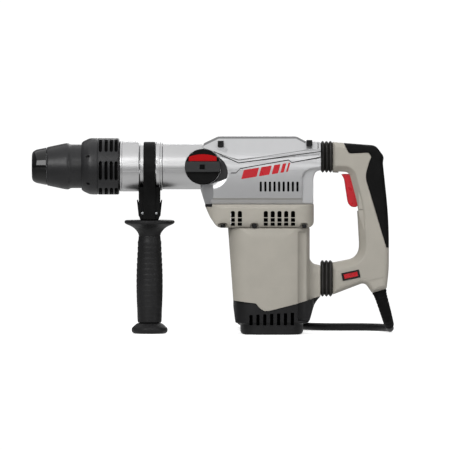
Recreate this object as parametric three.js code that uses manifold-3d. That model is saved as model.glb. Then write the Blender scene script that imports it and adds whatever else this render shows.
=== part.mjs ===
// A 5 kg class rotary hammer in millimetres: tool axis along X with the chuck at -X, +Z up, mode
// knob on the -Y side. The origin is under the middle of the tool, on the surface it stands on.
import * as THREE from 'three';
import { mergeVertices } from 'three/addons/utils/BufferGeometryUtils.js';
import Module from 'manifold-3d';

const wasm = await Module();
wasm.setup();

// ---- Driving dimensions ----
const GAP = 0.3; // between pieces that touch
const AXIS_Z = 209; // spindle axis above the floor
const HALF_LENGTH = 222.9;
const MOTOR_X = 74; // the armature stands upright here
const CRANK_X = 102;
const SHAFT_X = 46; // intermediate shaft
const SIDE_X = -76; // side handle
const KNOB_X = -9.4;
const ROUND = 24; // facets of a large round piece
const SMALL_ROUND = 20;

// spindle line, measured along X
const SPINDLE_FRONT = -214;
const SPINDLE_REAR = 34;
const SPINDLE_STEP = -142;
const TOOL_BORE_R = 9.2;
const CYLINDER_R = 17.2; // bore of the hammer tube
const TUBE_R = 22.5;
const TUBE_HOLE_R = 24.2; // clearance round the tube
const BEARING_BORE_R = 22.9;
const REAR_BEARING_R = 27;
const HAMMER_R = 16.8; // striker and piston
const COLLAR_R = 35.3;
const COLLAR_BACK = -113.9;
const BARREL_R = 31.4;
const BARREL_REAR_R = 28.75;
const BARREL_SPLIT = -60;
const HOUSING_FRONT = -9;

// gearcase and motor, heights above the floor
const HOUSING_BASE = 162.5;
const RIDGE_Z = 246.5;
const NECK_TOP = 240.1;
const HOUSING_REAR = 137.7;
const HOUSING_HALF = 42;
const FLANGE_HALF = 51;
const FLANGE_BASE = 133;
const MOTOR_HALF = 48;
const CAP_TOP = 42;
const STATOR_R = 42;
const MOTOR_BEARING_R = 14;

// gears: the teeth of the pinion and of the two gears it drives have one module
const MODULE = 1.4;
const PINION_TEETH = 8;
const GEAR_TEETH = 32;
const BEVEL_TEETH = 10;
const CROWN_TEETH = 40;
const CROWN_PITCH_R = 28;
const GEAR_Z = 150;
const GEAR_WIDTH = 10;

// rear handle
const HANDLE_HALF = 18;
const HANDLE_FRONT = 152.7;
const CORE_HALF = 16.2; // under the overmould

// cord
const CORD_R = 4.75;
const HANK = { x: MOTOR_X + 2, near: 60, far: 250, top: 40, fold: 38, innerFold: 28.5 };

// ---- Materials ----
const material = (color, roughness, metalness = 0) =>
  new THREE.MeshStandardMaterial({ color, roughness, metalness });
const SILVER = material(0xb9bcbf, 0.38, 0.85);
const MACHINED = material(0xc4c6c8, 0.28, 0.95);
const STEEL = material(0x8c8f93, 0.3, 1);
const GREY_PLASTIC = material(0xa9a59b, 0.55);
const BLACK_PLASTIC = material(0x17181a, 0.5);
const RUBBER = material(0x101112, 0.75);
const CHUCK_GREY = material(0x2f3135, 0.45, 0.2);
const RED = material(0xb3161b, 0.4);
const COPPER = material(0xb06a3a, 0.35, 1);
const CARBON = material(0x26262a, 0.8);

// ---- Solids ----
function toSolid(geometry) {
  const bare = geometry.clone();
  bare.deleteAttribute('normal');
  bare.deleteAttribute('uv');
  const merged = mergeVertices(bare, 1e-4);
  return new wasm.Manifold(
    new wasm.Mesh({
      numProp: 3,
      vertProperties: merged.attributes.position.array,
      triVerts: new Uint32Array(merged.index.array),
    }),
  );
}

function toGeometry(solid) {
  const mesh = solid.getMesh();
  const geometry = new THREE.BufferGeometry();
  geometry.setAttribute('position', new THREE.BufferAttribute(mesh.vertProperties, mesh.numProp));
  geometry.setIndex(new THREE.BufferAttribute(mesh.triVerts, 1));
  geometry.computeVertexNormals();
  return geometry;
}

function part(name, solid, look, group) {
  const mesh = new THREE.Mesh(toGeometry(solid), look);
  mesh.name = name;
  group.add(mesh);
}

function box([x0, x1], [y0, y1], [z0, z1]) {
  const geometry = new THREE.BoxGeometry(x1 - x0, y1 - y0, z1 - z0);
  return toSolid(geometry.translate((x0 + x1) / 2, (y0 + y1) / 2, (z0 + z1) / 2));
}

// A solid of revolution. The profile is a closed outline of [along the axis, radius].
function turned(axis, profile, facets = ROUND) {
  const area = profile.reduce((sum, [along, r], i) => {
    const [nextAlong, nextR] = profile[(i + 1) % profile.length];
    return sum + r * nextAlong - nextR * along;
  }, 0);
  const ordered = area > 0 ? profile : [...profile].reverse();
  const onAxis = ordered.findIndex(([, r], i) => r === 0 && ordered.at(i - 1)[1] === 0);
  const loop = onAxis < 0 ? ordered : [...ordered.slice(onAxis), ...ordered.slice(0, onAxis)];
  const points = loop.map(([along, r]) => new THREE.Vector2(r, along));
  if (onAxis < 0) points.push(points[0].clone());
  const geometry = new THREE.LatheGeometry(points, facets);
  if (axis === 'x') geometry.rotateZ(-Math.PI / 2);
  if (axis === 'z') geometry.rotateX(Math.PI / 2);
  return toSolid(geometry);
}

const rod = (axis, [from, to], r, facets = SMALL_ROUND) =>
  turned(axis, [[from, 0], [from, r], [to, r], [to, 0]], facets);
const ring = (axis, [from, to], inner, outer, facets = ROUND) =>
  turned(axis, [[from, inner], [from, outer], [to, outer], [to, inner]], facets);

// A closed outline through corners [u, v, fillet], the fillet left out on a sharp corner.
function outline(corners) {
  const shape = new THREE.Shape();
  corners.forEach(([u, v, fillet = 0], i) => {
    const here = new THREE.Vector2(u, v);
    const toward = (j) => {
      const other = new THREE.Vector2(...corners.at(j % corners.length).slice(0, 2));
      return here.clone().add(other.sub(here).setLength(fillet));
    };
    const start = fillet ? toward(i - 1) : here;
    if (i === 0) shape.moveTo(start.x, start.y);
    else shape.lineTo(start.x, start.y);
    if (!fillet) return;
    const end = toward(i + 1);
    shape.quadraticCurveTo(u, v, end.x, end.y);
  });
  return shape;
}

const basis = (u, v, across) =>
  new THREE.Matrix4().makeBasis(...[u, v, across].map((axis) => new THREE.Vector3(...axis)));
const PLANES = {
  xy: new THREE.Matrix4(),
  yz: basis([0, 1, 0], [0, 0, 1], [1, 0, 0]),
  xz: basis([1, 0, 0], [0, 0, 1], [0, -1, 0]),
};

// An outline in one plane, drawn out from one place to another across it.
function drawn(plane, corners, [from, to], curveSegments = 3) {
  const shape = Array.isArray(corners) ? outline(corners) : corners;
  const depth = to - from;
  const geometry = new THREE.ExtrudeGeometry(shape, { depth, bevelEnabled: false, curveSegments });
  geometry.translate(0, 0, plane === 'xz' ? -to : from);
  return toSolid(geometry.applyMatrix4(PLANES[plane]));
}

// ---- Groups: each holds its pieces about its own axis ----
const hammer = new THREE.Group();
function groupAt(x, y, z) {
  const group = new THREE.Group();
  group.position.set(x, y, z);
  hammer.add(group);
  return group;
}
const onAxis = groupAt(0, 0, AXIS_Z);
const onMotor = groupAt(MOTOR_X, 0, 0);
const onCrank = groupAt(CRANK_X, 0, 0);
const onShaft = groupAt(SHAFT_X, 0, 0);
const onSide = groupAt(SIDE_X, 0, 0);

// ---- Barrel ----
function barrel() {
  const seatR = 27.4;
  const bearingSeatR = 28.3;
  part('front_barrel', turned('x', [
    [-113.6, bearingSeatR], [-113.6, BARREL_R - 1.5], [-112, BARREL_R], [-88.5, BARREL_R],
    [-87.5, BARREL_R - 1], [-87.5, seatR], [-68.2, seatR], [-68.2, 30.2], [BARREL_SPLIT, 30.2],
    [BARREL_SPLIT, TUBE_HOLE_R], [-95.7, TUBE_HOLE_R], [-95.7, bearingSeatR],
  ]), MACHINED, onAxis);
  const rear = ring('x', [BARREL_SPLIT + GAP, HOUSING_FRONT - GAP], TUBE_HOLE_R, BARREL_REAR_R);
  part('rear_barrel', rear, MACHINED, onAxis);
  part('front_bearing', ring('x', [-108, -96], BEARING_BORE_R, 28), STEEL, onAxis);
  part('rear_bearing', ring('x', [-3.7, 8.3], BEARING_BORE_R, REAR_BEARING_R), STEEL, onAxis);
}

// ---- Chuck and spindle ----
const ROLLER = { from: -184, to: -168, r: 3.5, out: 11.5 };

function chuck() {
  part('nose_cap', turned('x', [
    [-HALF_LENGTH, 10.2], [-HALF_LENGTH, 18], [-220, 20.6], [-212, 22.4], [-204.5, 23.75],
    [-204.5, 17.4], [SPINDLE_FRONT - GAP, 17.4], [SPINDLE_FRONT - GAP, 10.2],
  ]), RUBBER, onAxis);
  part('locking_sleeve', turned('x', [
    [-204.2, 17.4], [-204.2, 23.9], [-180, 29], [-177.5, 29], [-175, 27.25], [-152, 27.25],
    [-152, 21.5], [-166, 21.5], [-166, 18.6], [-196, 18.6], [-196, 17.4],
  ]), CHUCK_GREY, onAxis);
  part('sleeve_spring', ring('x', [-165.7, SPINDLE_STEP - GAP], 17.7, 20.8, SMALL_ROUND), STEEL, onAxis);
  part('rear_collar', turned('x', [
    [-160.8, 27.9], [-160.8, 29.3], [-150.4, COLLAR_R], [COLLAR_BACK, COLLAR_R], [COLLAR_BACK, 32],
    [-130, 32], [-130, TUBE_R + GAP], [-138, TUBE_R + GAP], [-138, 27.9],
  ]), CHUCK_GREY, onAxis);
  const slot = (side) => {
    const across = side > 0 ? [7, 18] : [-18, -7];
    return box([ROLLER.from - GAP, ROLLER.to + GAP], [-ROLLER.r - GAP, ROLLER.r + GAP], across);
  };
  part('spindle', turned('x', [
    [SPINDLE_FRONT, TOOL_BORE_R], [SPINDLE_FRONT, 17], [SPINDLE_STEP, 17], [SPINDLE_STEP, TUBE_R],
    [SPINDLE_REAR, TUBE_R], [SPINDLE_REAR, CYLINDER_R], [-140, CYLINDER_R], [-140, TOOL_BORE_R],
  ]).subtract(slot(1)).subtract(slot(-1)), STEEL, onAxis);
  for (const [name, side] of [['lock_roller_top', 1], ['lock_roller_bottom', -1]]) {
    const roller = rod('x', [ROLLER.from, ROLLER.to], ROLLER.r, 12);
    part(name, roller.translate([0, 0, side * ROLLER.out]), STEEL, onAxis);
  }
}

// ---- Hammer mechanism ----
const PIN_R = 3.9;
const PISTON_PIN_X = -10;
const CRANK_PIN_X = CRANK_X - 10;

function hammerMechanism() {
  part('impact_bolt', turned('x', [
    [-146, 0], [-146, 7.5], [-144.5, 8.9], [-126, 8.9], [-126, 16.6], [-106, 16.6], [-104, 14], [-104, 0],
  ], 24), STEEL, onAxis);
  part('striker', turned('x', [
    [-96, 0], [-96, 12], [-94, HAMMER_R], [-72, HAMMER_R], [-71, 15.6], [-69, 15.6], [-68, HAMMER_R],
    [-56, HAMMER_R], [-56, 0],
  ], 24), STEEL, onAxis);
  const pinHole = rod('z', [-18, 18], PIN_R + GAP, 12).translate([PISTON_PIN_X, 0, 0]);
  const piston = rod('x', [-28, 2], HAMMER_R, 24).subtract(box([-20, 3], [-9, 9], [-8, 8]));
  part('piston', piston.subtract(pinHole), SILVER, onAxis);
  const pin = rod('z', [-14, 14], PIN_R, 12).translate([PISTON_PIN_X, 0, 0]);
  part('wrist_pin', pin, STEEL, onAxis);
  const eye = (x, r) => rod('z', [-5, 5], r).translate([x, 0, 0]);
  const bigHole = rod('z', [-6, 6], 5.8, 12).translate([CRANK_PIN_X, 0, 0]);
  const bar = box([PISTON_PIN_X, CRANK_PIN_X], [-4, 4], [-3.5, 3.5]);
  const connectingRod = bar.add(eye(PISTON_PIN_X, 7.5)).add(eye(CRANK_PIN_X, 9));
  part('connecting_rod', connectingRod.subtract(pinHole).subtract(bigHole), STEEL, onAxis);
}

// ---- Gears ----
// A spur gear's outline: narrow teeth with room between them, so two in mesh run free.
const TOOTH_ROOT_WIDTH = 1.9;
const TOOTH_TIP_WIDTH = 0.9;

function gearOutline(teeth, pitchR, addendum, dedendum, turn = 0) {
  const root = pitchR - dedendum;
  const tip = pitchR + addendum;
  const rootAngle = TOOTH_ROOT_WIDTH / 2 / root;
  const tipAngle = TOOTH_TIP_WIDTH / 2 / tip;
  const corners = [[-rootAngle, root], [-tipAngle, tip], [tipAngle, tip], [rootAngle, root]];
  const shape = new THREE.Shape();
  for (let i = 0; i < teeth; i += 1) {
    const middle = turn + (i * 2 * Math.PI) / teeth;
    corners.forEach(([angle, r], j) => {
      const x = r * Math.cos(middle + angle);
      const y = r * Math.sin(middle + angle);
      if (i + j === 0) shape.moveTo(x, y);
      else shape.lineTo(x, y);
    });
  }
  return shape;
}

function gears() {
  const gearR = (MODULE * GEAR_TEETH) / 2;
  const halfTooth = Math.PI / GEAR_TEETH;
  const wheelOutline = gearOutline(GEAR_TEETH, gearR, 0.9, 1.4, halfTooth);
  const wheel = drawn('xy', wheelOutline, [GEAR_Z, GEAR_Z + GEAR_WIDTH]);
  const crankShaftR = 7;
  const shaftR = 5;
  const hole = (r) => rod('z', [GEAR_Z - 1, GEAR_Z + GEAR_WIDTH + 1], r + GAP);
  part('crank_gear', wheel.subtract(hole(crankShaftR)), STEEL, onCrank);
  part('intermediate_gear', wheel.subtract(hole(shaftR)), STEEL, onShaft);
  const crankDisc = rod('z', [188, 200.5], 18, 24);
  const crankPin = rod('z', [200, 203], 5.5, 12).translate([CRANK_PIN_X - CRANK_X, 0, 0]);
  part('crankshaft', rod('z', [140, 189], crankShaftR).add(crankDisc).add(crankPin), STEEL, onCrank);
  const bevelR = (CROWN_PITCH_R * BEVEL_TEETH) / CROWN_TEETH;
  const bevel = drawn('xy', gearOutline(BEVEL_TEETH, bevelR, 1, 1.6), [176, 187]);
  part('intermediate_shaft', rod('z', [138, 190], shaftR).add(bevel), STEEL, onShaft);
  let crown = ring('x', [28, 37], TUBE_R + GAP, 31);
  for (let i = 0; i < CROWN_TEETH; i += 1) {
    const tooth = box([36.5, 39.5], [-0.75, 0.75], [24.5, 30.8]);
    crown = crown.add(tooth.rotate([((i + 0.5) * 360) / CROWN_TEETH, 0, 0]));
  }
  part('spindle_gear', crown, STEEL, onAxis);
}

barrel();
chuck();
hammerMechanism();
gears();

// ---- Motor ----
function motor() {
  const shaftR = 5;
  const sleeve = (from, to, r, look, name) =>
    part(name, ring('z', [from, to], shaftR + GAP, r, SMALL_ROUND), look, onMotor);
  const pinion = drawn('xy', gearOutline(PINION_TEETH, (MODULE * PINION_TEETH) / 2, 0.9, 1.4), [148, 162]);
  part('armature_shaft', rod('z', [18, 149], shaftR).add(pinion), STEEL, onMotor);
  sleeve(62, 112, 26, STEEL, 'armature_core');
  sleeve(40, 56, 14, COPPER, 'commutator');
  sleeve(118, 126, 38, BLACK_PLASTIC, 'fan');
  sleeve(127.5, 136, MOTOR_BEARING_R, STEEL, 'armature_bearing_upper');
  sleeve(22, 30, MOTOR_BEARING_R, STEEL, 'armature_bearing_lower');
  part('field_stator', ring('z', [58, 114], 28, STATOR_R), STEEL, onMotor);
  for (const [name, y] of [['brush_right', [-30, -14.4]], ['brush_left', [14.4, 30]]]) {
    part(name, box([-3, 3], y, [44, 52]), CARBON, onMotor);
  }
}

// ---- Housings ----
// The line where the top cover meets the gear housing, [x, z] from the front.
const PARTING = [[-20, 236], [35.4, 217], [118.6, 229.5], [150, 230]];
const CHIN_X = -12.4; // the case reaches furthest forward under the barrel
const ROD_Z = 221; // upper guide rod of the rear handle
const LOWER_ROD_Z = 69;
const ROD_R = 5;

function gearcase() {
  const silhouette = [
    [-6.6, HOUSING_BASE], [128.3, HOUSING_BASE], [128.3, 200], [HOUSING_REAR, 204.5],
    [HOUSING_REAR, NECK_TOP], [118.6, NECK_TOP], [107.4, RIDGE_Z], [10.3, RIDGE_Z], [HOUSING_FRONT, 237.2],
    [HOUSING_FRONT, 186], [CHIN_X, 181.2],
  ];
  const section = (half, base, shoulder, top) => [
    [-half, base], [half, base], [half, shoulder, 10], [half - 16, top, 10], [16 - half, top, 10],
    [-half, shoulder, 10],
  ];
  const length = [CHIN_X, HOUSING_REAR];
  const outside = drawn('xz', silhouette, [-HOUSING_HALF, HOUSING_HALF])
    .intersect(drawn('yz', section(HOUSING_HALF, HOUSING_BASE, 218, RIDGE_Z), length));
  const hollowSide = [[12, 161], [123, 161], [123, 236.5], [116, 236.5], [105, 242.4], [12, 242.4]];
  const hollow = drawn('xz', hollowSide, [-36, 36])
    .intersect(drawn('yz', section(36, HOUSING_BASE - 1, 216, 242.4), [12, 123]));
  const shaftHole = rod('x', [-12, 17], TUBE_HOLE_R, ROUND).add(rod('x', [-4, 17], REAR_BEARING_R + GAP, ROUND));
  const rodHole = rod('x', [122, 150], ROD_R + GAP, 12).translate([0, 0, ROD_Z]);
  const shaftRoom = shaftHole.translate([0, 0, AXIS_Z]);
  const corner = (way) => drawn('xy', [
    [-20, way * 26], [HOUSING_FRONT, way * 31], [2.4, way * 43], [-20, way * 60],
  ], [150, 187]);
  const shell = outside.subtract(hollow).subtract(shaftRoom).subtract(rodHole)
    .subtract(corner(1)).subtract(corner(-1));
  const above = (shift, far) => [
    ...PARTING.map(([x, z]) => [x, z + shift]), [150, far], [-20, far],
  ];
  const wide = [-60, 60];
  const knobBoss = turnedY([-42.5, -20], 22.8).translate([KNOB_X, 0, AXIS_Z]);
  const barrelRoom = rod('x', [-60, HOUSING_FRONT], BARREL_REAR_R + GAP, ROUND);
  const knobHole = turnedY([-45, -30.6], 5.4).translate([KNOB_X, 0, AXIS_Z]);
  const lower = shell.add(knobBoss).subtract(drawn('xz', above(-GAP / 2, 300), wide))
    .subtract(barrelRoom.translate([0, 0, AXIS_Z])).subtract(shaftRoom).subtract(knobHole);
  part('gear_housing', lower, SILVER, hammer);
  let cover = shell.intersect(drawn('xz', above(GAP / 2, 300), wide));
  for (const [name, x, z] of [['grease_plug_front', 13, 237.6], ['grease_plug_rear', 123.3, 238.6]]) {
    const plug = (grow) => box([x - 3.6 - grow, x + 3.6 + grow], [-36 + grow * 4, -28.5 + grow],
      [z - 3.6 - grow, z + 3.6 + grow]);
    cover = cover.subtract(plug(GAP).add(plug(GAP).translate([0, -4, 0])));
    part(name, plug(0), BLACK_PLASTIC, hammer);
  }
  part('top_cover', cover, SILVER, hammer);
}

function turnedY(span, r) {
  return rod('z', span, r, 24).rotate([-90, 0, 0]);
}

// An upright shell: an outline in plan cut to a side view, or what of it is hollow.
function upright(plan, side, half) {
  const heights = side.map(([, z]) => z);
  const span = [Math.min(...heights), Math.max(...heights)];
  return drawn('xy', plan, span, 4).intersect(drawn('xz', side, [-half, half]));
}

const rounded = ([x0, x1], half, fillet) => [
  [x0, -half, fillet], [x1, -half, fillet], [x1, half, fillet], [x0, half, fillet],
];

function motorHousings() {
  const top = HOUSING_BASE - GAP;
  const flangeSide = [[-7, top], [-6.2, 159.5], [7, FLANGE_BASE], [129, FLANGE_BASE], [129, top]];
  const flange = upright(rounded([-7, 129], FLANGE_HALF, 26), flangeSide, 60);
  const flangeHollow = drawn('xy', rounded([16, 126.2], 38, 12), [FLANGE_BASE - 1, top + 1]);
  part('motor_flange', flange.subtract(flangeHollow), GREY_PLASTIC, hammer);

  const housingTop = FLANGE_BASE - GAP;
  const housingSide = [[22, housingTop], [28.6, CAP_TOP], [124, CAP_TOP], [124, housingTop]];
  const neck = box([116, 137.4], [-17, 17], [48, 88]);
  const statorRoom = rounded([31.3, 118.7], STATOR_R + 1.3, 30);
  const motorHollow = drawn('xy', statorRoom, [CAP_TOP - 1, housingTop + 1], 6);
  const lowerRodHole = rod('x', [117, 140], ROD_R + GAP, 12).translate([0, 0, LOWER_ROD_Z]);
  const housing = upright(rounded([22, 124], MOTOR_HALF, 34), housingSide, 60).add(neck);
  part('motor_housing', housing.subtract(motorHollow).subtract(lowerRodHole), GREY_PLASTIC, hammer);

  const capTop = CAP_TOP - GAP;
  const capSide = [
    [28.6, capTop], [33, 17.7], [37.9, 14.4], [37.9, 3], [41, 0], [112.7, 0], [115.7, 3],
    [115.7, 14.4], [124, 16], [129.6, 38.5], [129.6, capTop],
  ];
  const cap = upright(rounded([28.6, 129.6], MOTOR_HALF - 1, 32), capSide, 60);
  const capHollow = drawn('xy', rounded([40, 112], 38, 20), [5, CAP_TOP + 1]);
  const bearingSeat = ring('z', [4, 30], MOTOR_BEARING_R + GAP, 18).translate([MOTOR_X, 0, 0]);
  part('base_cap', cap.subtract(capHollow).add(bearingSeat), BLACK_PLASTIC, hammer);
}

function bellows() {
  const fold = ([x0, x1], z, half, high, hole) => {
    const block = (grow, from, to) => drawn('yz',
      [[-half - grow, z - high - grow, 8], [half + grow, z - high - grow, 8],
        [half + grow, z + high + grow, 8], [-half - grow, z + high + grow, 8]], [from, to]);
    const pitch = (x1 - x0) / 5;
    let body = block(-2.2, x0, x1);
    for (const i of [0, 2, 4]) body = body.add(block(0, x0 + i * pitch, x0 + (i + 1) * pitch));
    return body.subtract(rod('x', [x0 - 1, x1 + 1], hole, 12).translate([0, 0, z]));
  };
  const upper = fold([HOUSING_REAR + GAP, HANDLE_FRONT - GAP], ROD_Z, 16, 19.4, ROD_R + 3);
  part('upper_bellows', upper, RUBBER, hammer);
  part('lower_bellows', fold([137.7, HANDLE_FRONT - GAP], LOWER_ROD_Z, 16, 22.4, ROD_R + 3), RUBBER, hammer);
  for (const [name, z, ends] of [
    ['upper_guide_rod', ROD_Z, [124, 176]], ['lower_guide_rod', LOWER_ROD_Z, [120, 168]],
  ]) {
    part(name, rod('x', ends, ROD_R, 12).translate([0, 0, z]), STEEL, hammer);
  }
}

function modeKnob() {
  const knob = new THREE.Group();
  knob.position.set(KNOB_X, 0, AXIS_Z);
  hammer.add(knob);
  const disc = turnedY([-47, -42.8], 22.4).add(box([-22, 22], [-50.6, -46], [-6.5, 6.5]))
    .add(turnedY([-43, -31], 5));
  part('mode_knob', disc, BLACK_PLASTIC, knob);
  const insert = turnedY([-48.4, -47.3], 19).intersect(box([-20, 20], [-49, -47], [7.5, 20]));
  part('knob_insert', insert, RED, knob);
}

// ---- Side handle: the clamp swings round the barrel, the grip turns about its own axis ----
const CARRIER_BASE = -66.9; // below the spindle axis
const STUD_R = 5;

function sideHandle() {
  const bandX = [SIDE_X - 7.4, SIDE_X + 7.4];
  const seat = rod('x', [SIDE_X - 20, SIDE_X + 20], 27.8, ROUND);
  const studHole = (r) => rod('z', [-80, -30], r, 12).translate([SIDE_X, 0, 0]);
  const band = rod('x', bandX, 30.6, ROUND).add(box(bandX, [-12, 12], [-50, -24])).subtract(seat);
  part('clamp_band', band.subtract(studHole(STUD_R + GAP)), BLACK_PLASTIC, onAxis);
  const ear = (way) => drawn('xz', [
    [way * 13.2, -65.5], [way * 15.8, -41.8], [way * 14.6, -41.8], [way * 11.5, -50],
  ].map(([x, z]) => [SIDE_X + x, z]), [-9, 9]);
  const carrier = box([SIDE_X - 13.4, SIDE_X + 13.4], [-17, 17], [CARRIER_BASE, -26]).add(ear(1)).add(ear(-1))
    .subtract(box([SIDE_X - 7.7, SIDE_X + 7.7], [-12.3, 12.3], [-50.3, 0]))
    .subtract(rod('x', [SIDE_X - 20, SIDE_X + 20], BARREL_R + GAP, ROUND)).subtract(studHole(STUD_R + GAP));
  part('handle_carrier', carrier, BLACK_PLASTIC, onAxis);

  const blindHole = rod('z', [111.7, 150], STUD_R + GAP, 12);
  const top = AXIS_Z + CARRIER_BASE - GAP;
  part('clamp_stud', rod('z', [112, 172], STUD_R, 12), STEEL, onSide);
  part('side_grip', turned('z', [
    [13.3, 0], [13.3, 14.6], [40, 16], [64.4, 16.6], [95, 15.4], [120, 14], [125.4, 14.4],
    [133.4, 21.9], [137.4, 31.4], [top, 31.4], [top, 0],
  ]).subtract(blindHole), RUBBER, onSide);
  part('side_pommel', turned('z', [
    [0, 0], [0, 21.5], [2, 22.6], [9, 22.6], [12.9, 17], [12.9, 0],
  ]), RUBBER, onSide);
}

// ---- Rear handle, on bellows ----
const CORD_EXIT = [211, 0, 53.6];
const HANDLE_OUTSIDE = [
  [HANDLE_FRONT, 239.6], [166.2, 238.2], [207.4, 235.1, 5], [216.9, 221, 2.5], [215.3, 215, 2.5],
  [HALF_LENGTH, 142.5, 20], [HALF_LENGTH, 80, 8], [220.2, 56.4], [201.9, 50.9], [192.7, 64.6, 5],
  [HANDLE_FRONT, 48.9],
];
// Where the grey shells meet the black overmould, from the top of the arm to the rear of the grip.
const OVERMOULD_EDGE = [
  [166.2, 237.9], [172.6, 225], [198.3, 226], [201.3, 220.6], [198.3, 215.9], [192.7, 196.6], [219.3, 107.6],
];
const FINGER_GAP = [
  [140, 200.3], [152.8, 201.3], [172, 200.5, 4], [182.6, 161, 4], [183.6, 151.9], [186.3, 104.4, 7],
  [178.9, 93.9, 5], [150.6, 88.4], [140, 88],
];
const ROCKER_PLACE = [175.3, 0, 73.4];
const ARM_TILT = 12; // degrees, the lower arm and the rocker rise to the rear

function gripHalf(side) {
  const span = (inner, outer) => (side > 0 ? [inner, outer] : [-outer, -inner]);
  const split = GAP / 2;
  const gap = drawn('xz', FINGER_GAP, [-30, 30]);
  const band = drawn('xz', [...OVERMOULD_EDGE, [240, 107.6], [240, 260], [166.2, 260]], [-30, 30]);
  const grey = drawn('xz', HANDLE_OUTSIDE, span(split, HANDLE_HALF)).subtract(band);
  const core = drawn('xz', coreOutline(GAP), span(split, CORE_HALF));
  const hollow = drawn('xz', HANDLE_HOLLOW, [-14, 14]);
  const slot = box([160, 196], [-10.5, 10.5], [153, 203]);
  const cordHole = turned('x', [[-1, 0], [-1, 4.95], [16, 4.95], [16, 0]], 12)
    .rotate([0, -73.3, 0]).translate(CORD_EXIT);
  const window = box([-9.1, 9.1], [-21, -13], [-3.3, 3.3]).rotate([0, -ARM_TILT, 0]).translate(ROCKER_PLACE);
  return [gap, hollow, slot, cordHole, window].reduce((solid, cut) => solid.subtract(cut), grey.add(core));
}

// The shells under the overmould, inset from the outside by the rubber's thickness.
function coreOutline(less) {
  const skin = 3 + less;
  return [
    [164, 236.5 - less], [172, 234.4 - less], [206 - less, 231.8 - less, 4], [216.9 - skin, 221, 2.5],
    [215.3 - skin, 215, 2.5], [HALF_LENGTH - skin, 142.5, 20], [HALF_LENGTH - skin, 104], [200, 104],
    [185, 150], [185, 205], [164, 212],
  ];
}

const HANDLE_HOLLOW = [
  [140, 232], [200, 229], [209, 220], [209, 213], [215, 142.5], [215, 80], [192, 68.6], [140, 56],
  [140, 79], [178, 88], [190, 100], [187.5, 152], [182, 204], [140, 207],
];

function rearHandle() {
  part('handle_shell_right', gripHalf(-1), GREY_PLASTIC, hammer);
  part('handle_shell_left', gripHalf(1), GREY_PLASTIC, hammer);
  const shifted = OVERMOULD_EDGE.map(([x, z]) => [x + 0.4, z + 0.4]);
  const band = [...shifted, [240, 107.9], [240, 260], [166.6, 260]];
  const skin = drawn('xz', HANDLE_OUTSIDE, [-HANDLE_HALF - 0.5, HANDLE_HALF + 0.5])
    .intersect(drawn('xz', band, [-30, 30]))
    .subtract(drawn('xz', coreOutline(0), [-CORE_HALF - GAP, CORE_HALF + GAP]));
  part('grip_overmould', skin, RUBBER, hammer);
  part('switch_body', box([194, 206], [-9, 9], [166, 196]), BLACK_PLASTIC, hammer);
  part('trigger', drawn('xz', [
    [163.3, 199.4], [167.1, 193.9], [168.9, 181, 4], [171.7, 162.8, 3], [176, 158.1, 2], [182, 158.1],
    [185, 161], [188, 190], [186, 199.4],
  ], [-10, 10]), RED, hammer);
}

// ---- Rocker switch on the lower arm, tilted with the arm ----
function rockerSwitch() {
  const rocker = new THREE.Group();
  rocker.position.set(...ROCKER_PLACE);
  rocker.rotation.y = THREE.MathUtils.degToRad(-ARM_TILT);
  hammer.add(rocker);
  const frame = box([-11.2, 11.2], [-19.6, -HANDLE_HALF - GAP], [-4.9, 4.9]);
  const bezel = frame.subtract(box([-9.1, 9.1], [-21, -17], [-3.3, 3.3]));
  part('rocker_bezel', bezel, BLACK_PLASTIC, rocker);
  part('rocker', box([-8.7, 8.7], [-19.2, -15], [-2.9, 2.9]), RED, rocker);
}

// ---- Cord ----
// From the socket down to the floor and round to the hank behind the motor.
const CORD_ROUTE = [
  [211.1, 0, 53.3], [212.5, 0, 48.5], [214.2, 0, 43.1], [217.2, 1.4, 33.2], [220, 5.4, 23.9],
  [222.3, 11.7, 16], [224.2, 20, 9.9],
  [225.3, 29.7, 6.1], [225.7, 40, 4.9], [225.3, 50, 4.8], [222.3, 61.2, 4.8], [212.5, 75.8, 4.8],
  [197.9, 85.6, 4.8], [180.7, 89, 4.8], [159, 89, 4.8], [141.8, 92.4, 4.8], [127.2, 102.2, 4.8],
];
// From the inner turn to the plug, which lies in the middle of the hank.
const CORD_TAIL = [[61, 176.5, 4.8], [67, 166.5, 4.8], [72.4, 157, 4.8], [75.2, 151, 4.8], [76, 146.8, 4.8]];
const PLUG_FRONT = 145.5;

function tube(points, r) {
  const curve = new THREE.CatmullRomCurve3(points.map((p) => new THREE.Vector3(...p)));
  const section = new THREE.Shape();
  const sides = 10;
  for (let i = 0; i < sides; i += 1) {
    const angle = (i * 2 * Math.PI) / sides;
    if (i === 0) section.moveTo(r, 0);
    else section.lineTo(r * Math.cos(angle), r * Math.sin(angle));
  }
  const steps = Math.max(2, Math.round(curve.getLength() / (5 * r)));
  return toSolid(new THREE.ExtrudeGeometry(section, { extrudePath: curve, steps, bevelEnabled: false }));
}

function stadium(halfWidth) {
  const inset = HANK.fold + CORD_R;
  const shape = new THREE.Shape();
  shape.absarc(HANK.x, HANK.far - inset, halfWidth, 0, Math.PI);
  shape.absarc(HANK.x, HANK.near + inset, halfWidth, Math.PI, 2 * Math.PI);
  return shape;
}

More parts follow.
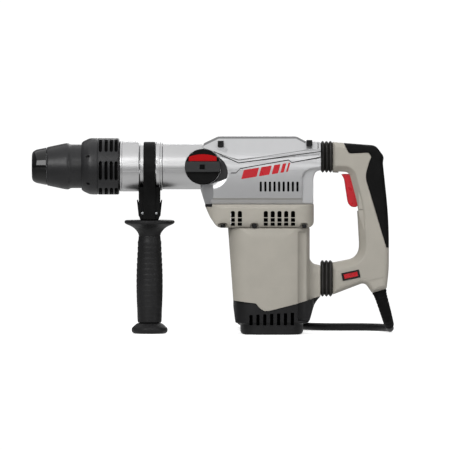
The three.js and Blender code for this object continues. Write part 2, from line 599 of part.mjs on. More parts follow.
function cord() {
  const guardEnd = 6;
  const [end, next] = CORD_ROUTE.slice(guardEnd, guardEnd + 2).map((p) => new THREE.Vector3(...p));
  const start = end.lerp(next, 0.12).toArray();
  part('cord_guard', tube(CORD_ROUTE.slice(0, guardEnd + 1), 7.2), RUBBER, hammer);
  part('power_cord', tube([start, ...CORD_ROUTE.slice(guardEnd + 1)], CORD_R), RUBBER, hammer);
  const rings = [HANK.fold + CORD_R, HANK.innerFold - CORD_R]
    .map((half) => drawn('xy', stadium(half), [0, HANK.top], 6));
  part('cord_hank', rings[0].subtract(rings[1]), RUBBER, hammer);
  part('cord_tail', tube(CORD_TAIL, CORD_R), RUBBER, hammer);
  const body = box([HANK.x - 17, HANK.x + 17], [PLUG_FRONT - 44, PLUG_FRONT - GAP], [0, 20]);
  let plug = body;
  for (const side of [-1, 1]) {
    const pin = turnedY([PLUG_FRONT - 63, PLUG_FRONT - 43], 2.4).translate([HANK.x + side * 9.5, 0, 10]);
    plug = plug.add(pin);
  }
  part('cord_plug', plug, RUBBER, hammer);
}

motor();
gearcase();
motorHousings();
bellows();
modeKnob();
sideHandle();
rearHandle();
rockerSwitch();
cord();

export default hammer;
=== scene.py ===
import math

import bmesh
import bpy
from mathutils import Matrix, Vector


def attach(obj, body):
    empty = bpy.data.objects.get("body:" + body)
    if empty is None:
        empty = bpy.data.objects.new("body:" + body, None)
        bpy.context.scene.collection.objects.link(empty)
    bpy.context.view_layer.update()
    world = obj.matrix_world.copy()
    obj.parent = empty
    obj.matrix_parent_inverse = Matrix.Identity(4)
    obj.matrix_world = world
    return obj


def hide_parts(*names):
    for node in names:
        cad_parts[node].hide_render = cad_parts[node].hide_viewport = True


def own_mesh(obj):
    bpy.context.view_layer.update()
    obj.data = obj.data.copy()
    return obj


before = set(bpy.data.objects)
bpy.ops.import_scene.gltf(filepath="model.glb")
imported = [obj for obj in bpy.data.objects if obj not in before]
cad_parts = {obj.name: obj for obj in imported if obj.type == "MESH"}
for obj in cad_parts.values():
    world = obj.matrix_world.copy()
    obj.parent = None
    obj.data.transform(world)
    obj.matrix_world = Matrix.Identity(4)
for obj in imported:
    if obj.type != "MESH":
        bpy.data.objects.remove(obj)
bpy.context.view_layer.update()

# Every size below is in millimetres, in the shared frame. Pieces are scaled to metres as they are made.
# The camera, the lights and the floor are in metres.
MM = 0.001
AXIS_Z = 209.0
AXIS = (0, 0, AXIS_Z)
SIDES = (-1, 1)  # the knob's side first
OUT = 60.0  # past either side of the object, where cutting tools end


# ---------------------------------------------------------------- camera and light
LIT_SPOT = (0.02, 0, 0.12)
SOFTBOXES = {  # place, size and power
    "overhead": ((0.0, 0.0, 1.4), (2.4, 2.0), 12.0),
    "front_high": ((0.1, -1.35, 1.15), (1.8, 0.4), 3.5),
    "front_left": ((-0.85, -1.6, 0.95), (0.8, 1.0), 15.0),
    "front_fill": ((0.1, -2.3, 0.55), (2.2, 0.5), 6.0),
    "front_right": ((1.5, -1.2, 0.6), (0.35, 1.0), 5.5),
    "behind": ((0.4, 1.6, 1.0), (1.2, 0.8), 7.0),
}
WHITE = 1.05  # strength of the background, and of the floor where it is as white
FLOOR_HALF = 6.0
FLOOR_DROP = 0.0002


def added(name, data):
    """A new object in the scene."""
    obj = bpy.data.objects.new(name, data)
    bpy.context.scene.collection.objects.link(obj)
    return obj


def facing(name, data, place, aim):
    """A camera or a light at a place, turned towards aim."""
    obj = added(name, data)
    obj.location = place
    obj.rotation_euler = (Vector(aim) - obj.location).to_track_quat("-Z", "Y").to_euler()
    return obj


def camera():
    """Level side view of the knob side through a long lens."""
    distance, rise, width = 8.0, math.radians(1.3), 0.5625
    aim = Vector((0.0183, 0.0, 0.1356))
    cam = bpy.data.cameras.new("camera")
    cam.sensor_width = 36.0
    cam.lens = cam.sensor_width * distance / width
    cam.clip_end = 100.0
    place = aim + distance * Vector((0, -math.cos(rise), math.sin(rise)))
    bpy.context.scene.camera = facing("camera", cam, place, aim)


def wire(tree, node, inputs):
    """Sets a node's inputs: an output is linked in, and anything else becomes the value."""
    for key, value in inputs.items():
        if isinstance(value, bpy.types.NodeSocket):
            tree.links.new(value, node.inputs[key])
        else:
            node.inputs[key].default_value = value
    return node.outputs


def shader(tree, kind, inputs, operation=None):
    """Adds a node and returns its outputs."""
    node = tree.nodes.new("ShaderNode" + kind)
    if operation:
        node.operation = operation
    return wire(tree, node, inputs)


def ramp(tree, value, stops):
    """A colour ramp between two stops of position and colour."""
    node = tree.nodes.new("ShaderNodeValToRGB")
    for element, (position, color) in zip(node.color_ramp.elements, stops):
        element.position = position
        element.color = (*color, 1)
    return wire(tree, node, {0: value})[0]


def emptied(data):
    data.use_nodes = True
    data.node_tree.nodes.clear()
    return data.node_tree


def surround():
    """White to the camera, and dimmer low down than above in light and reflections."""
    world = bpy.data.worlds.new("studio")
    tree = emptied(world)
    split = shader(tree, "SeparateXYZ", {0: shader(tree, "TexCoord", {})["Generated"]})
    half = shader(tree, "Math", {0: split["Z"], 1: 0.5, 2: 0.5}, "MULTIPLY_ADD")
    shade = ramp(tree, half[0], ((0.42, (0.12, 0.12, 0.125)), (0.62, (0.55, 0.55, 0.56))))
    lit = shader(tree, "Background", {"Color": shade, "Strength": 0.5})
    seen = shader(tree, "Background", {"Color": (1, 1, 1, 1), "Strength": WHITE})
    path = shader(tree, "LightPath", {})
    mix = shader(tree, "MixShader", {0: path["Is Camera Ray"], 1: lit[0], 2: seen[0]})
    shader(tree, "OutputWorld", {"Surface": mix[0]})
    return world


def floor_white():
    """Near the object the floor takes its shadow; farther off it glows as white as the background."""
    white = bpy.data.materials.new("floor_white")
    tree = emptied(white)
    flat = shader(tree, "VectorMath", {0: shader(tree, "TexCoord", {})["Object"]}, "LENGTH")
    fade = shader(tree, "MapRange", {"Value": flat["Value"], "From Min": 0.26, "From Max": 0.5})
    matt = shader(tree, "BsdfDiffuse", {"Color": (0.9, 0.9, 0.9, 1)})
    base_glow = shader(tree, "Emission", {"Strength": 0.62})
    lift = shader(tree, "AddShader", {0: matt[0], 1: base_glow[0]})
    glow = shader(tree, "Emission", {"Strength": WHITE})
    seen = shader(tree, "MixShader", {0: fade[0], 1: lift[0], 2: glow[0]})
    path = shader(tree, "LightPath", {})
    near = shader(tree, "Math", {0: 1.0, 1: fade[0]}, "SUBTRACT")
    shine = shader(tree, "Math", {0: near[0], 1: path["Is Glossy Ray"]}, "MULTIPLY")
    bounce = shader(tree, "BsdfDiffuse", {"Color": (0.4, 0.4, 0.4, 1)})
    table = shader(tree, "Emission", {"Strength": 0.75})
    mirrored = shader(tree, "MixShader", {0: shine[0], 1: bounce[0], 2: table[0]})
    only = shader(tree, "MixShader", {0: path["Is Camera Ray"], 1: mirrored[0], 2: seen[0]})
    shader(tree, "OutputMaterial", {"Surface": only[0]})
    return white


def studio():
    """A white floor, a white surround that is dimmer low down in reflections, and six softboxes."""
    scene = bpy.context.scene
    scene.view_settings.view_transform = "Standard"
    scene.world = surround()
    for name, (place, size, power) in SOFTBOXES.items():
        light = bpy.data.lights.new(name, "AREA")
        light.shape = "RECTANGLE"
        light.size, light.size_y = size
        light.energy = power
        facing(name, light, place, LIT_SPOT)

    mesh = bpy.data.meshes.new("floor")
    corners = [(x * FLOOR_HALF, y * FLOOR_HALF, 0) for x, y in ((-1, -1), (1, -1), (1, 1), (-1, 1))]
    mesh.from_pydata(corners, [], [(0, 1, 2, 3)])
    floor = added("floor", mesh)
    floor.location.z = -FLOOR_DROP
    mesh.materials.append(floor_white())


# ---------------------------------------------------------------- materials
def finish(name, color, rough, metal=0.0, grain=0.0, grain_size=0.4, tone=0.06, tone_size=18.0, coat=0.0,
           rings=None, rough_spread=0.08, shine=0.5):
    """A procedural finish: a cloudy tone, roughness that varies, a fine grain in relief, and turned rings
    along X if asked. Sizes are in millimetres."""
    mat = bpy.data.materials.new(name)
    mat.use_nodes = True
    tree = mat.node_tree
    place = shader(tree, "TexCoord", {})["Object"]

    def noise(size, detail):
        inputs = {"Scale": 1 / (size * MM), "Detail": detail, "Vector": place}
        return shader(tree, "TexNoise", inputs)["Fac"]

    dark = [c * (1 - tone) for c in color]
    light = [min(1, c * (1 + tone)) for c in color]
    smear = {"From Min": 0.3, "From Max": 0.7, "To Min": max(0.02, rough - rough_spread),
             "To Max": min(1, rough + rough_spread), "Value": noise(tone_size * 0.3, 4)}
    skin = {
        "Metallic": metal, "Specular IOR Level": shine, "Coat Weight": coat, "Coat Roughness": 0.12,
        "Base Color": ramp(tree, noise(tone_size, 6), ((0.35, dark), (0.65, light))),
        "Roughness": shader(tree, "MapRange", smear)[0],
    }
    height = noise(grain_size, 3) if grain else None
    if rings:
        pitch, grain = rings
        wave = tree.nodes.new("ShaderNodeTexWave")
        wave.bands_direction = "X"
        bands = {"Scale": 1 / (pitch * 3.2 * MM), "Distortion": 0.6, "Vector": place}
        height = wire(tree, wave, bands)["Fac"]
    if height:
        relief = {"Strength": 1.0, "Distance": grain * MM, "Height": height}
        skin["Normal"] = shader(tree, "Bump", relief)[0]
    wire(tree, tree.nodes["Principled BSDF"], skin)
    return mat


MATERIALS = {
    "silver": finish("silver_lacquer", (0.52, 0.522, 0.527), 0.31, metal=0.75, grain=0.01, grain_size=0.5,
                     tone=0.012, coat=0.15, rough_spread=0.015),
    "machined": finish("machined_aluminium", (0.53, 0.53, 0.532), 0.34, metal=1.0, rings=(0.9, 0.0008),
                       tone=0.015, rough_spread=0.02),
    "steel": finish("ground_steel", (0.45, 0.46, 0.47), 0.28, metal=1.0, grain=0.006, grain_size=0.3),
    "dark_steel": finish("black_screw_steel", (0.06, 0.06, 0.062), 0.38, metal=0.8, grain=0.006,
                         grain_size=0.3),
    "copper": finish("copper_bars", (0.72, 0.42, 0.22), 0.3, metal=1.0, grain=0.006),
    "carbon": finish("carbon_block", (0.03, 0.03, 0.033), 0.7, grain=0.03, grain_size=0.2),
    "grey": finish("grey_nylon", (0.4, 0.377, 0.328), 0.5, grain=0.03, grain_size=0.45, tone=0.025,
                   shine=0.4),
    "black": finish("black_nylon", (0.010, 0.010, 0.0105), 0.42, grain=0.02, grain_size=0.45, tone=0.15,
                    shine=0.2),
    "rubber": finish("black_rubber", (0.011, 0.011, 0.0115), 0.5, grain=0.025, grain_size=0.6, tone=0.2,
                     shine=0.24),
    "boot": finish("bellows_rubber", (0.02, 0.0185, 0.017), 0.42, grain=0.02, grain_size=0.6, tone=0.2,
                   shine=0.4),
    "soft": finish("soft_black_rubber", (0.005, 0.005, 0.005), 0.6, grain=0.025, grain_size=0.6, tone=0.2,
                   shine=0.08),
    "nose": finish("gloss_rubber", (0.002, 0.002, 0.0021), 0.07, tone=0.2, coat=0.3, rough_spread=0.01,
                   shine=0.3),
    "chuck": finish("chuck_sleeve", (0.014, 0.014, 0.015), 0.36, grain=0.012, grain_size=0.4, tone=0.12,
                    shine=0.35),
    "deep_red": finish("deep_red_nylon", (0.4, 0.002, 0.004), 0.45, tone=0.05, shine=0.1),
    # a darker copy of the silver: painted shade on the top cover's crest
    "edge": finish("silver_painted_shade", (0.2, 0.201, 0.203), 0.42, metal=0.7, tone=0.012, rough_spread=0.015),
    "red": finish("red_nylon", (0.5, 0.006, 0.014), 0.32, grain=0.01, grain_size=0.4, tone=0.05, shine=0.4),
    # the black of painted shade, put behind slots and vents, into grooves and into the knob's pocket
    "hollow": finish("painted_shade_black", (0.004, 0.004, 0.004), 0.9, grain=0.02, tone=0.2, shine=0.05),
    "bar": finish("knob_bar", (0.018, 0.0185, 0.019), 0.42, grain=0.015, grain_size=0.4, tone=0.1,
                  shine=0.35),
    "brass": finish("nickel_pins", (0.6, 0.58, 0.54), 0.22, metal=1.0, grain=0.004, grain_size=0.3),
}


# ---------------------------------------------------------------- shapes, in millimetres
def arc_corner(before, here, after, reach, steps):
    """The points of a curved corner that starts and ends reach away from the corner."""
    p, a, b = Vector(here[:2]), Vector(before[:2]), Vector(after[:2])
    start = p + (a - p).normalized() * min(reach, (a - p).length * 0.48)
    end = p + (b - p).normalized() * min(reach, (b - p).length * 0.48)
    for i in range(steps + 1):
        t = i / steps
        yield (1 - t) ** 2 * start + 2 * t * (1 - t) * p + t * t * end


def outline(corners, reach=0.0, steps=8):
    """A closed outline through corners [u, v] or [u, v, fillet]."""
    points = []
    for i, here in enumerate(corners):
        fillet = here[2] if len(here) > 2 else reach
        if not fillet:
            points.append(Vector(here[:2]))
            continue
        after = corners[(i + 1) % len(corners)]
        points.extend(arc_corner(corners[i - 1], here, after, fillet, steps))
    return points


def solid(bm):
    """A temporary object in millimetres made from a bmesh."""
    bmesh.ops.recalc_face_normals(bm, faces=bm.faces)
    mesh = bpy.data.meshes.new("work")
    bm.to_mesh(mesh)
    bm.free()
    return added("work", mesh)


PLANES = {"xz": (0, 2, 1), "yz": (1, 2, 0), "xy": (0, 1, 2)}
POINTED = 1e-4  # a turned ring narrower than this is one point


def circle(count):
    """The cosines and sines of evenly spaced angles."""
    turns = [2 * math.pi * k / count for k in range(count)]
    return [(math.cos(turn), math.sin(turn)) for turn in turns]


def bridge(bm, rings, ends=True):
    """Faces from ring to ring. Both ends are closed, or else the last ring runs on into the first."""
    for ring, after in zip(rings, rings[1:] if ends else rings[1:] + rings[:1]):
        for k in range(len(ring)):
            j = (k + 1) % len(ring)
            bm.faces.new((ring[k], ring[j], after[j], after[k]))
    return [bm.faces.new(ring) for ring in (rings[0], rings[-1])] if ends else []


def rounded(bm, edges, bevel):
    if bevel:
        bmesh.ops.bevel(bm, geom=edges, offset=bevel, segments=3, profile=0.5, affect="EDGES")
    return solid(bm)


def span(way, low, high):
    """A range of Y on one side, given as distances from the middle."""
    return sorted((way * low, way * high))


def box_of(x, z, fillet=0.0, top=None):
    """The corners of a rectangle, with a fillet, and with one of its own at the top if asked."""
    top = fillet if top is None else top
    return [[x[0], z[0], fillet], [x[1], z[0], fillet], [x[1], z[1], top], [x[0], z[1], top]]


def mirrored(right, middle=0.0):
    """An outline that is the same on both sides, from its right half, bottom to top."""
    left = [[middle - u, *rest] for u, *rest in reversed(right)]
    return left + [[middle + u, *rest] for u, *rest in right]


def grown(points, by):
    """An outline moved outward by a distance, or inward where that is negative."""
    area = sum(p.x * q.y - q.x * p.y for p, q in zip(points, points[1:] + points[:1]))
    way = 1 if area > 0 else -1
    result = []
    for i, p in enumerate(points):
        a = (p - points[i - 1]).normalized()
        b = (points[(i + 1) % len(points)] - p).normalized()
        normal = Vector((a.y + b.y, -a.x - b.x)).normalized() * way
        lean = max(0.5, normal.dot(Vector((a.y, -a.x)) * way))
        result.append(p + normal * by / lean)
    return result


def drafted(plane, corners, sections, steps=8, bevel=0.0):
    """An outline drawn out through sections [across, grown by], so its sides can lean or round over."""
    a, b, c = PLANES[plane]
    base = outline(corners, steps=steps)
    bm = bmesh.new()
    rims = []
    for across, by in sections:
        rim = []
        for p in grown(base, by):
            place = [0.0, 0.0, 0.0]
            place[a], place[b], place[c] = p[0], p[1], across
            rim.append(bm.verts.new(place))
        rims.append(rim)
    caps = bridge(bm, rims)
    return rounded(bm, [edge for face in caps for edge in face.edges], bevel)


def prism(plane, corners, low, high, bevel=0.0, steps=8):
    """An outline in one plane, drawn out across it from low to high, with its end edges rounded."""
    return drafted(plane, corners, [(low, 0), (high, 0)], steps, bevel)


def pillow(half, r, steps=6, base=0.0):
    """Sections for a shape half wide to each side whose edges are rounded with radius r."""
    ends = []
    for i in range(steps + 1):
        turn = math.pi / 2 * i / steps
        ends.append((half - r + r * math.sin(turn), base - r + r * math.cos(turn)))
    return [(-across, by) for across, by in reversed(ends)] + ends


def brick(x, y, z, bevel=0.0):
    bm = bmesh.new()
    bmesh.ops.create_cube(bm, size=1)
    for v in bm.verts:
        for axis, (low, high) in enumerate((x, y, z)):
            v.co[axis] = low if v.co[axis] < 0 else high
    return rounded(bm, bm.edges[:], bevel)


def lathe(axis, centre, profile, reach=0.0, steps=96, curve=4):
    """A solid of revolution about an axis through centre: profile is a closed outline of [along, radius],
    with every corner rounded by reach unless it has a fillet of its own."""
    index = "xyz".index(axis)
    side, up = [i for i in range(3) if i != index]
    rim = []
    for i, here in enumerate(profile):
        fillet = here[2] if len(here) > 2 else (reach if here[1] > 0 else 0)
        if fillet:
            rim.extend(arc_corner(profile[i - 1], here, profile[(i + 1) % len(profile)], fillet, curve))
        else:
            rim.append(Vector(here[:2]))
    bm = bmesh.new()
    rings = []
    for along, r in rim:
        ring = []
        for c, s in circle(steps if r > POINTED else 1):
            place = list(centre)
            place[index] += along
            place[side] += r * c
            place[up] += r * s
            ring.append(bm.verts.new(place))
        rings.append(ring)
    for i, ring in enumerate(rings):
        after = rings[(i + 1) % len(rings)]
        if len(ring) == 1 and len(after) == 1:
            continue
        for k in range(steps):
            j = (k + 1) % steps
            near = [ring[k % len(ring)], ring[j % len(ring)]]
            far = [after[j % len(after)], after[k % len(after)]]
            bm.faces.new(list(dict.fromkeys(near + far)))
    return solid(bm)


def rod(axis, centre, low, high, r, bevel=0.0, steps=48):
    return lathe(axis, centre, [[low, 0], [low, r], [high, r], [high, 0]], bevel, steps)


def copy_of(obj):
    return added("work", obj.data.copy())


def moved(obj, place, turn=0.0, about="X"):
    """Turns a work object about its own axis through the origin, and then moves it."""
    obj.data.transform(Matrix.Translation(place) @ Matrix.Rotation(math.radians(turn), 4, about))
    return obj


def discard(obj):
    mesh = obj.data
    bpy.data.objects.remove(obj)
    bpy.data.meshes.remove(mesh)


def bake(obj):
    """Applies the modifiers."""
    graph = bpy.context.evaluated_depsgraph_get()
    mesh = bpy.data.meshes.new_from_object(obj.evaluated_get(graph))
    obj.modifiers.clear()
    old = obj.data
    obj.data = mesh
    bpy.data.meshes.remove(old)
    return obj


def joined(objs):
    """Several separate solids as one object."""
    bm = bmesh.new()
    for obj in objs:
        bm.from_mesh(obj.data)
        discard(obj)
    return solid(bm)


def combine(operation, base, others):
    for other in others:
        tool = base.modifiers.new("join", "BOOLEAN")
        tool.operation = operation
        tool.solver = "MANIFOLD"
        tool.object = other
    bake(base)
    for other in others:
        discard(other)
    return base


def cut(base, *tools):
    return combine("DIFFERENCE", base, tools)


def fuse(base, *others):
    return combine("UNION", base, others)


def meet(base, *others):
    return combine("INTERSECT", base, others)


def soften(obj, voxel=0.9, rounds=4):
    """Rounds every edge like a casting's, by remeshing finely and smoothing."""
    mesh = obj.modifiers.new("voxels", "REMESH")
    mesh.mode = "VOXEL"
    mesh.voxel_size = voxel * 1.0
    smooth = obj.modifiers.new("smooth", "SMOOTH")
    smooth.factor = 0.5
    smooth.iterations = rounds
    return bake(obj)


def piece(obj, name, body, look, nodes=(), sharp=38, even=True):
    """Turns a work object into a finished piece in metres that rides on a body and stands for CAD nodes."""
    mesh = obj.data
    mesh.transform(Matrix.Scale(MM, 4))
    mesh.name = obj.name = name
    mesh.polygons.foreach_set("use_smooth", [True] * len(mesh.polygons))
    mesh.set_sharp_from_angle(angle=math.radians(sharp))
    mesh.materials.clear()
    mesh.materials.append(MATERIALS[look])
    if even:
        shading = obj.modifiers.new("even_shading", "WEIGHTED_NORMAL")
        shading.keep_sharp = True
        shading.weight = 80
    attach(obj, body)
    if nodes:
        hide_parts(*nodes)
    return obj


# ---------------------------------------------------------------- cord
CORD_R = 4.75
FLOOR_Z = 4.8
CORD_START = [
    (211.1, 0, 53.3), (212.5, 0, 48.5), (214.2, 0, 43.1), (217.2, 1.4, 33.2), (220, 5.4, 23.9),
    (222.3, 11.7, 16), (224.2, 20, 9.9), (225.3, 29.7, 6.1), (225.7, 40, 4.9), (225.3, 50, 4.8),
    (222.3, 61.2, 4.8), (212.5, 75.8, 4.8), (197.9, 85.6, 4.8), (180.7, 89, 4.8), (159, 89, 4.8),
    (141.8, 92.4, 4.8), (127.2, 102.2, 4.8), (118.6, 113.6, 4.8), (114.8, 125, 4.8), (114, 134, 4.8),
]
HANK_X, FOLD, INNER_FOLD = 76.0, 38.0, 28.5
RUN_NEAR, RUN_FAR = 102.75, 207.25
TURNS, RISE = 3, 9.6  # of the outer loops, and of the inner ones


def through(points, steps=6):
    """A smooth curve through points, as closely spaced points."""
    ends = [points[0]] + list(points) + [points[-1]]
    p = [Vector(q) for q in ends]
    smooth = [p[1]]
    for i in range(1, len(p) - 2):
        for k in range(1, steps + 1):
            t = k / steps
            a = 2 * p[i]
            b = p[i + 1] - p[i - 1]
            c = 2 * p[i - 1] - 5 * p[i] + 4 * p[i + 1] - p[i + 2]
            d = 3 * p[i] - p[i - 1] - 3 * p[i + 1] + p[i + 2]
            smooth.append((a + b * t + c * t * t + d * t ** 3) / 2)
    return smooth


def hank_point(along, r):
    """A point of a hank loop's plan, so many millimetres along it from the start of its far arc."""
    run, arc = RUN_FAR - RUN_NEAR, math.pi * r
    along %= 2 * (run + arc)
    if along < arc:
        return HANK_X + r * math.cos(along / r), RUN_FAR + r * math.sin(along / r)
    if along < arc + run:
        return HANK_X - r, RUN_FAR - (along - arc)
    if along < 2 * arc + run:
        turn = math.pi + (along - arc - run) / r
        return HANK_X + r * math.cos(turn), RUN_NEAR + r * math.sin(turn)
    return HANK_X + r, RUN_NEAR + (along - 2 * arc - run)


def cord_route():
    """Down to the floor, round behind the motor, up the outer loops of the hank and down the inner ones."""
    points = through(CORD_START)
    run = RUN_FAR - RUN_NEAR
    loop = 2 * (run + math.pi * FOLD)
    first = RUN_FAR - CORD_START[-1][1]
    total = first + TURNS * loop
    rise = RISE / loop
    count = 150
    for i in range(1, count + 1):
        s = total * i / count
        x, y = hank_point(s - first, FOLD)
        points.append(Vector((x, y, FLOOR_Z + rise * s)))
    top = points[-1].z
    arc_steps = 12
    for i in range(1, arc_steps + 1):
        t = i / arc_steps
        r = FOLD + (INNER_FOLD - FOLD) * (3 * t * t - 2 * t ** 3)
        turn = math.pi * t
        points.append(Vector((HANK_X + r * math.cos(turn), RUN_FAR + r * math.sin(turn), top)))
    inner = 2 * (run + math.pi * INNER_FOLD)
    total = TURNS * inner
    for i in range(1, count + 1):
        s = total * i / count
        x, y = hank_point(s + math.pi * INNER_FOLD, INNER_FOLD)
        points.append(Vector((x, y, top + (FLOOR_Z - top) * i / count)))
    # an S bend from the inner loop to the middle, where the plug is
    bend, bend_steps = 40.0, 10
    lean = math.acos(1 - INNER_FOLD / (2 * bend))
    x, y = points[-1].x, points[-1].y
    turns = [lean * i / bend_steps for i in range(bend_steps + 1)]
    for turn in turns[1:]:
        points.append(Vector((x + bend * (1 - math.cos(turn)), y - bend * math.sin(turn), FLOOR_Z)))
    x, y = x + INNER_FOLD, y - 2 * bend * math.sin(lean)
    for turn in turns[-2::-1]:
        points.append(Vector((x - bend * (1 - math.cos(turn)), y + bend * math.sin(turn), FLOOR_Z)))
    return points


def loft(path, radii, sides=32):
    """A round tube along a path with a radius for each of its points."""
    bm = bmesh.new()
    rings = []
    side = Vector((0, 1, 0))
    for i, p in enumerate(path):
        ahead = (path[min(i + 1, len(path) - 1)] - path[max(i - 1, 0)]).normalized()
        side = (side - ahead * side.dot(ahead)).normalized()
        up = ahead.cross(side)
        rings.append([bm.verts.new(p + radii[i] * (c * side + s * up)) for c, s in circle(sides)])
    bridge(bm, rings)
    return solid(bm)


def cord_guard():
    """The tapered bend protector, with a collar at the socket and rings of slots."""
    wide, taper, collar_r, slot_deep, end_round = 8.6, 2.6, 9.0, 0.45, 0.6
    path = through(CORD_START[:7], 12)
    last = len(path) - 1
    radii = []
    for i in range(last + 1):
        t = i / last
        slotted = t > 0.2 and i % 6 == 0
        radii.append(collar_r if t < 0.1 else wide - taper * t - (slot_deep if slotted else 0))
    radii[last] -= end_round
    return piece(loft(path, radii), "cord_guard_ribbed", "rear_handle", "soft", ["cord_guard"], sharp=50)


def plug():
    """A generic two-pin plug: a waisted grip with ribs that narrows to its cord, and two round pins."""
    x, z = HANK_X, 10.0
    right = [[17, 101.8, 3], [17, 112, 4], [11.5, 122, 8], [12.5, 134, 8], [6, 145.2, 5]]
    body = prism("xy", mirrored(right, x), 0.3, 19.7, 3)
    for low in (-0.6, 19):
        cut(body, *[brick([60, 92], [y, y + 2], [low, low + 1.5]) for y in (118, 123, 128, 133)])
    grip = piece(body, "plug_body", "rear_handle", "rubber", ["cord_plug"])
    pins = [rod("y", (x + side * 9.5, 0, z), 82.6, 103, 2.4, 0.9, 32) for side in SIDES]
    return [grip, piece(joined(pins), "plug_pins", "rear_handle", "brass", ["cord_plug"])]


def cord_tie():
    """A hook-and-loop strap round one run of the hank."""
    strap = prism("xz", box_of((99.2, 119.0), (0.05, 40.4), 4), 150, 166, 0.2)
    cut(strap, prism("xz", box_of((100.0, 118.7), (0.35, 39.6), 3.6), 149, 167))
    tail = brick([101, 117], [151, 165], [40.2, 41.2], 0.3)
    return piece(joined([strap, tail]), "cord_tie", "rear_handle", "rubber")


def power_cord():
    points = cord_route()
    curve = bpy.data.curves.new("power_cord_line", "CURVE")
    curve.dimensions = "3D"
    curve.bevel_depth = CORD_R * MM
    curve.bevel_resolution = 8
    curve.use_fill_caps = True
    spline = curve.splines.new("POLY")
    spline.points.add(len(points) - 1)
    for point, p in zip(spline.points, points):
        point.co = (*(p * MM), 1)
    spline.use_smooth = True
    obj = added("power_cord_line", curve)
    curve.materials.append(MATERIALS["rubber"])
    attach(obj, "rear_handle")
    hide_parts("power_cord", "cord_hank", "cord_tail")
    pieces = [cord_guard(), *plug(), cord_tie()]


camera()
power_cord()
studio()


# ---------------------------------------------------------------- chuck and barrel
def chuck():
    nose = lathe("x", AXIS, [
        [-222.9, 10.2, 0.8], [-222.9, 17.2, 4], [-218.2, 20.7, 2.5], [-204.6, 23.4, 0.6],
        [-204.6, 17.4, 0.3], [-214.3, 17.4, 0.3], [-214.3, 10.2, 0.3],
    ], 0, 160, 8)
    piece(nose, "nose_cap_gloss", "tool_spindle", "nose", ["nose_cap"])
    lips = []
    for k in range(6):
        lip = lathe("x", (0, 0, 0), [[-222.6, 0.0], [-222.6, 1.0], [-214.6, 1.6], [-214.6, 0.0]], 0, 12)
        lips.append(moved(moved(lip, (0, 0, 9.6)), AXIS, 60 * k + 30))
    piece(joined(lips), "nose_drive_keys", "tool_spindle", "steel")

    sleeve = lathe("x", AXIS, [
        [-204.2, 17.4, 0.3], [-204.2, 23.6, 0.8], [-202.4, 24.3, 0.6], [-181.5, 28.7, 4],
        [-177.5, 29.1, 2.5], [-174.5, 27.25, 2], [-152, 27.25, 0.4], [-152, 21.5], [-166, 21.5],
        [-166, 18.6], [-196, 18.6], [-196, 17.4],
    ], 0, 128, 6)
    piece(sleeve, "locking_sleeve_satin", "sleeve", "chuck", ["locking_sleeve"])

    collar = lathe("x", AXIS, [
        [-160.8, 27.9, 0.3], [-160.8, 29.2, 0.5], [-158.5, 31.4, 2], [-151, 34.9, 3], [-147, 35.3, 2],
        [-141.2, 35.3, 0.4], [-140.8, 34.7, 0.2], [-140.2, 34.7, 0.2], [-139.8, 35.3, 0.4],
        [-114.9, 35.3, 0.8], [-113.9, 34.3, 0.6], [-113.9, 31.8], [-139.8, 31.8], [-139.8, 28.2],
        [-130.3, 28.2], [-130.3, 22.8], [-141, 22.8], [-141, 27.9],
    ], 0, 144, 5)
    tools = []
    half_angle, half_wide, outside = 20.0, 2.05, 37.0
    for k in range(6):
        turn = 60 * k - 8.7
        for x in (-136.9, -129.8, -123.3, -117.3):
            ends = (turn - half_angle, turn + half_angle)
            tools.append(wedge(x - half_wide, x + half_wide, 30.0, outside, *ends))
        tools.append(wedge(-155.0, -149.5, 30.6, outside, turn + 27, turn + 33))
    cut(collar, joined(tools))
    piece(collar, "rear_collar_slotted", "tool_spindle", "chuck", ["rear_collar"])
    # a dark ring behind the collar's slots: painted shade inside them
    slot_shade_ring = lathe("x", AXIS, [
        [-139.6, 28.3], [-139.6, 31.7], [-114.2, 31.7], [-114.2, 30.4], [-130.5, 30.4], [-130.5, 28.3],
    ], 0, 96)
    piece(slot_shade_ring, "collar_painted_shade", "tool_spindle", "hollow")


def sleeve_spring():
    """A coil round the spindle that closes up as the sleeve is pulled back."""
    front, rear = -165.7, -142.3
    wire, coil_r, turns, per_turn = 1.4, 19.2, 6, 28
    path = []
    for i in range(turns * per_turn + 1):
        along = i / (turns * per_turn)
        angle = 2 * math.pi * turns * along
        path.append(Vector((front + wire + (rear - front - 2 * wire) * along, coil_r * math.cos(angle),
                            AXIS_Z + coil_r * math.sin(angle))))
    coil = piece(loft(path, [wire] * len(path), 12), "sleeve_spring_coil", "tool_spindle", "steel",
                 ["sleeve_spring"], 60, False)
    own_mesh(coil)


def wedge(low, high, inner, outer, start, end, steps=14):
    """A block bent round the spindle axis, between angles measured up from -Y, with round ends."""
    bm = bmesh.new()
    middle, half = (low + high) / 2, (high - low) / 2
    radius = (inner + outer) / 2
    reach = math.degrees(half / radius)
    rings = []
    for i in range(steps + 1):
        angle = start + (end - start) * i / steps
        near = min(angle - start, end - angle)
        wide = half * math.sqrt(max(0.0, 1 - max(0.0, 1 - near / reach) ** 2)) if near < reach else half
        wide = max(wide, half * 0.35)
        turn = math.radians(angle)
        ring = []
        for side, r in ((-1, inner), (1, inner), (1, outer), (-1, outer)):
            place = (middle + side * wide, -r * math.cos(turn), AXIS_Z + r * math.sin(turn))
            ring.append(bm.verts.new(place))
        rings.append(ring)
    bridge(bm, rings)
    return solid(bm)


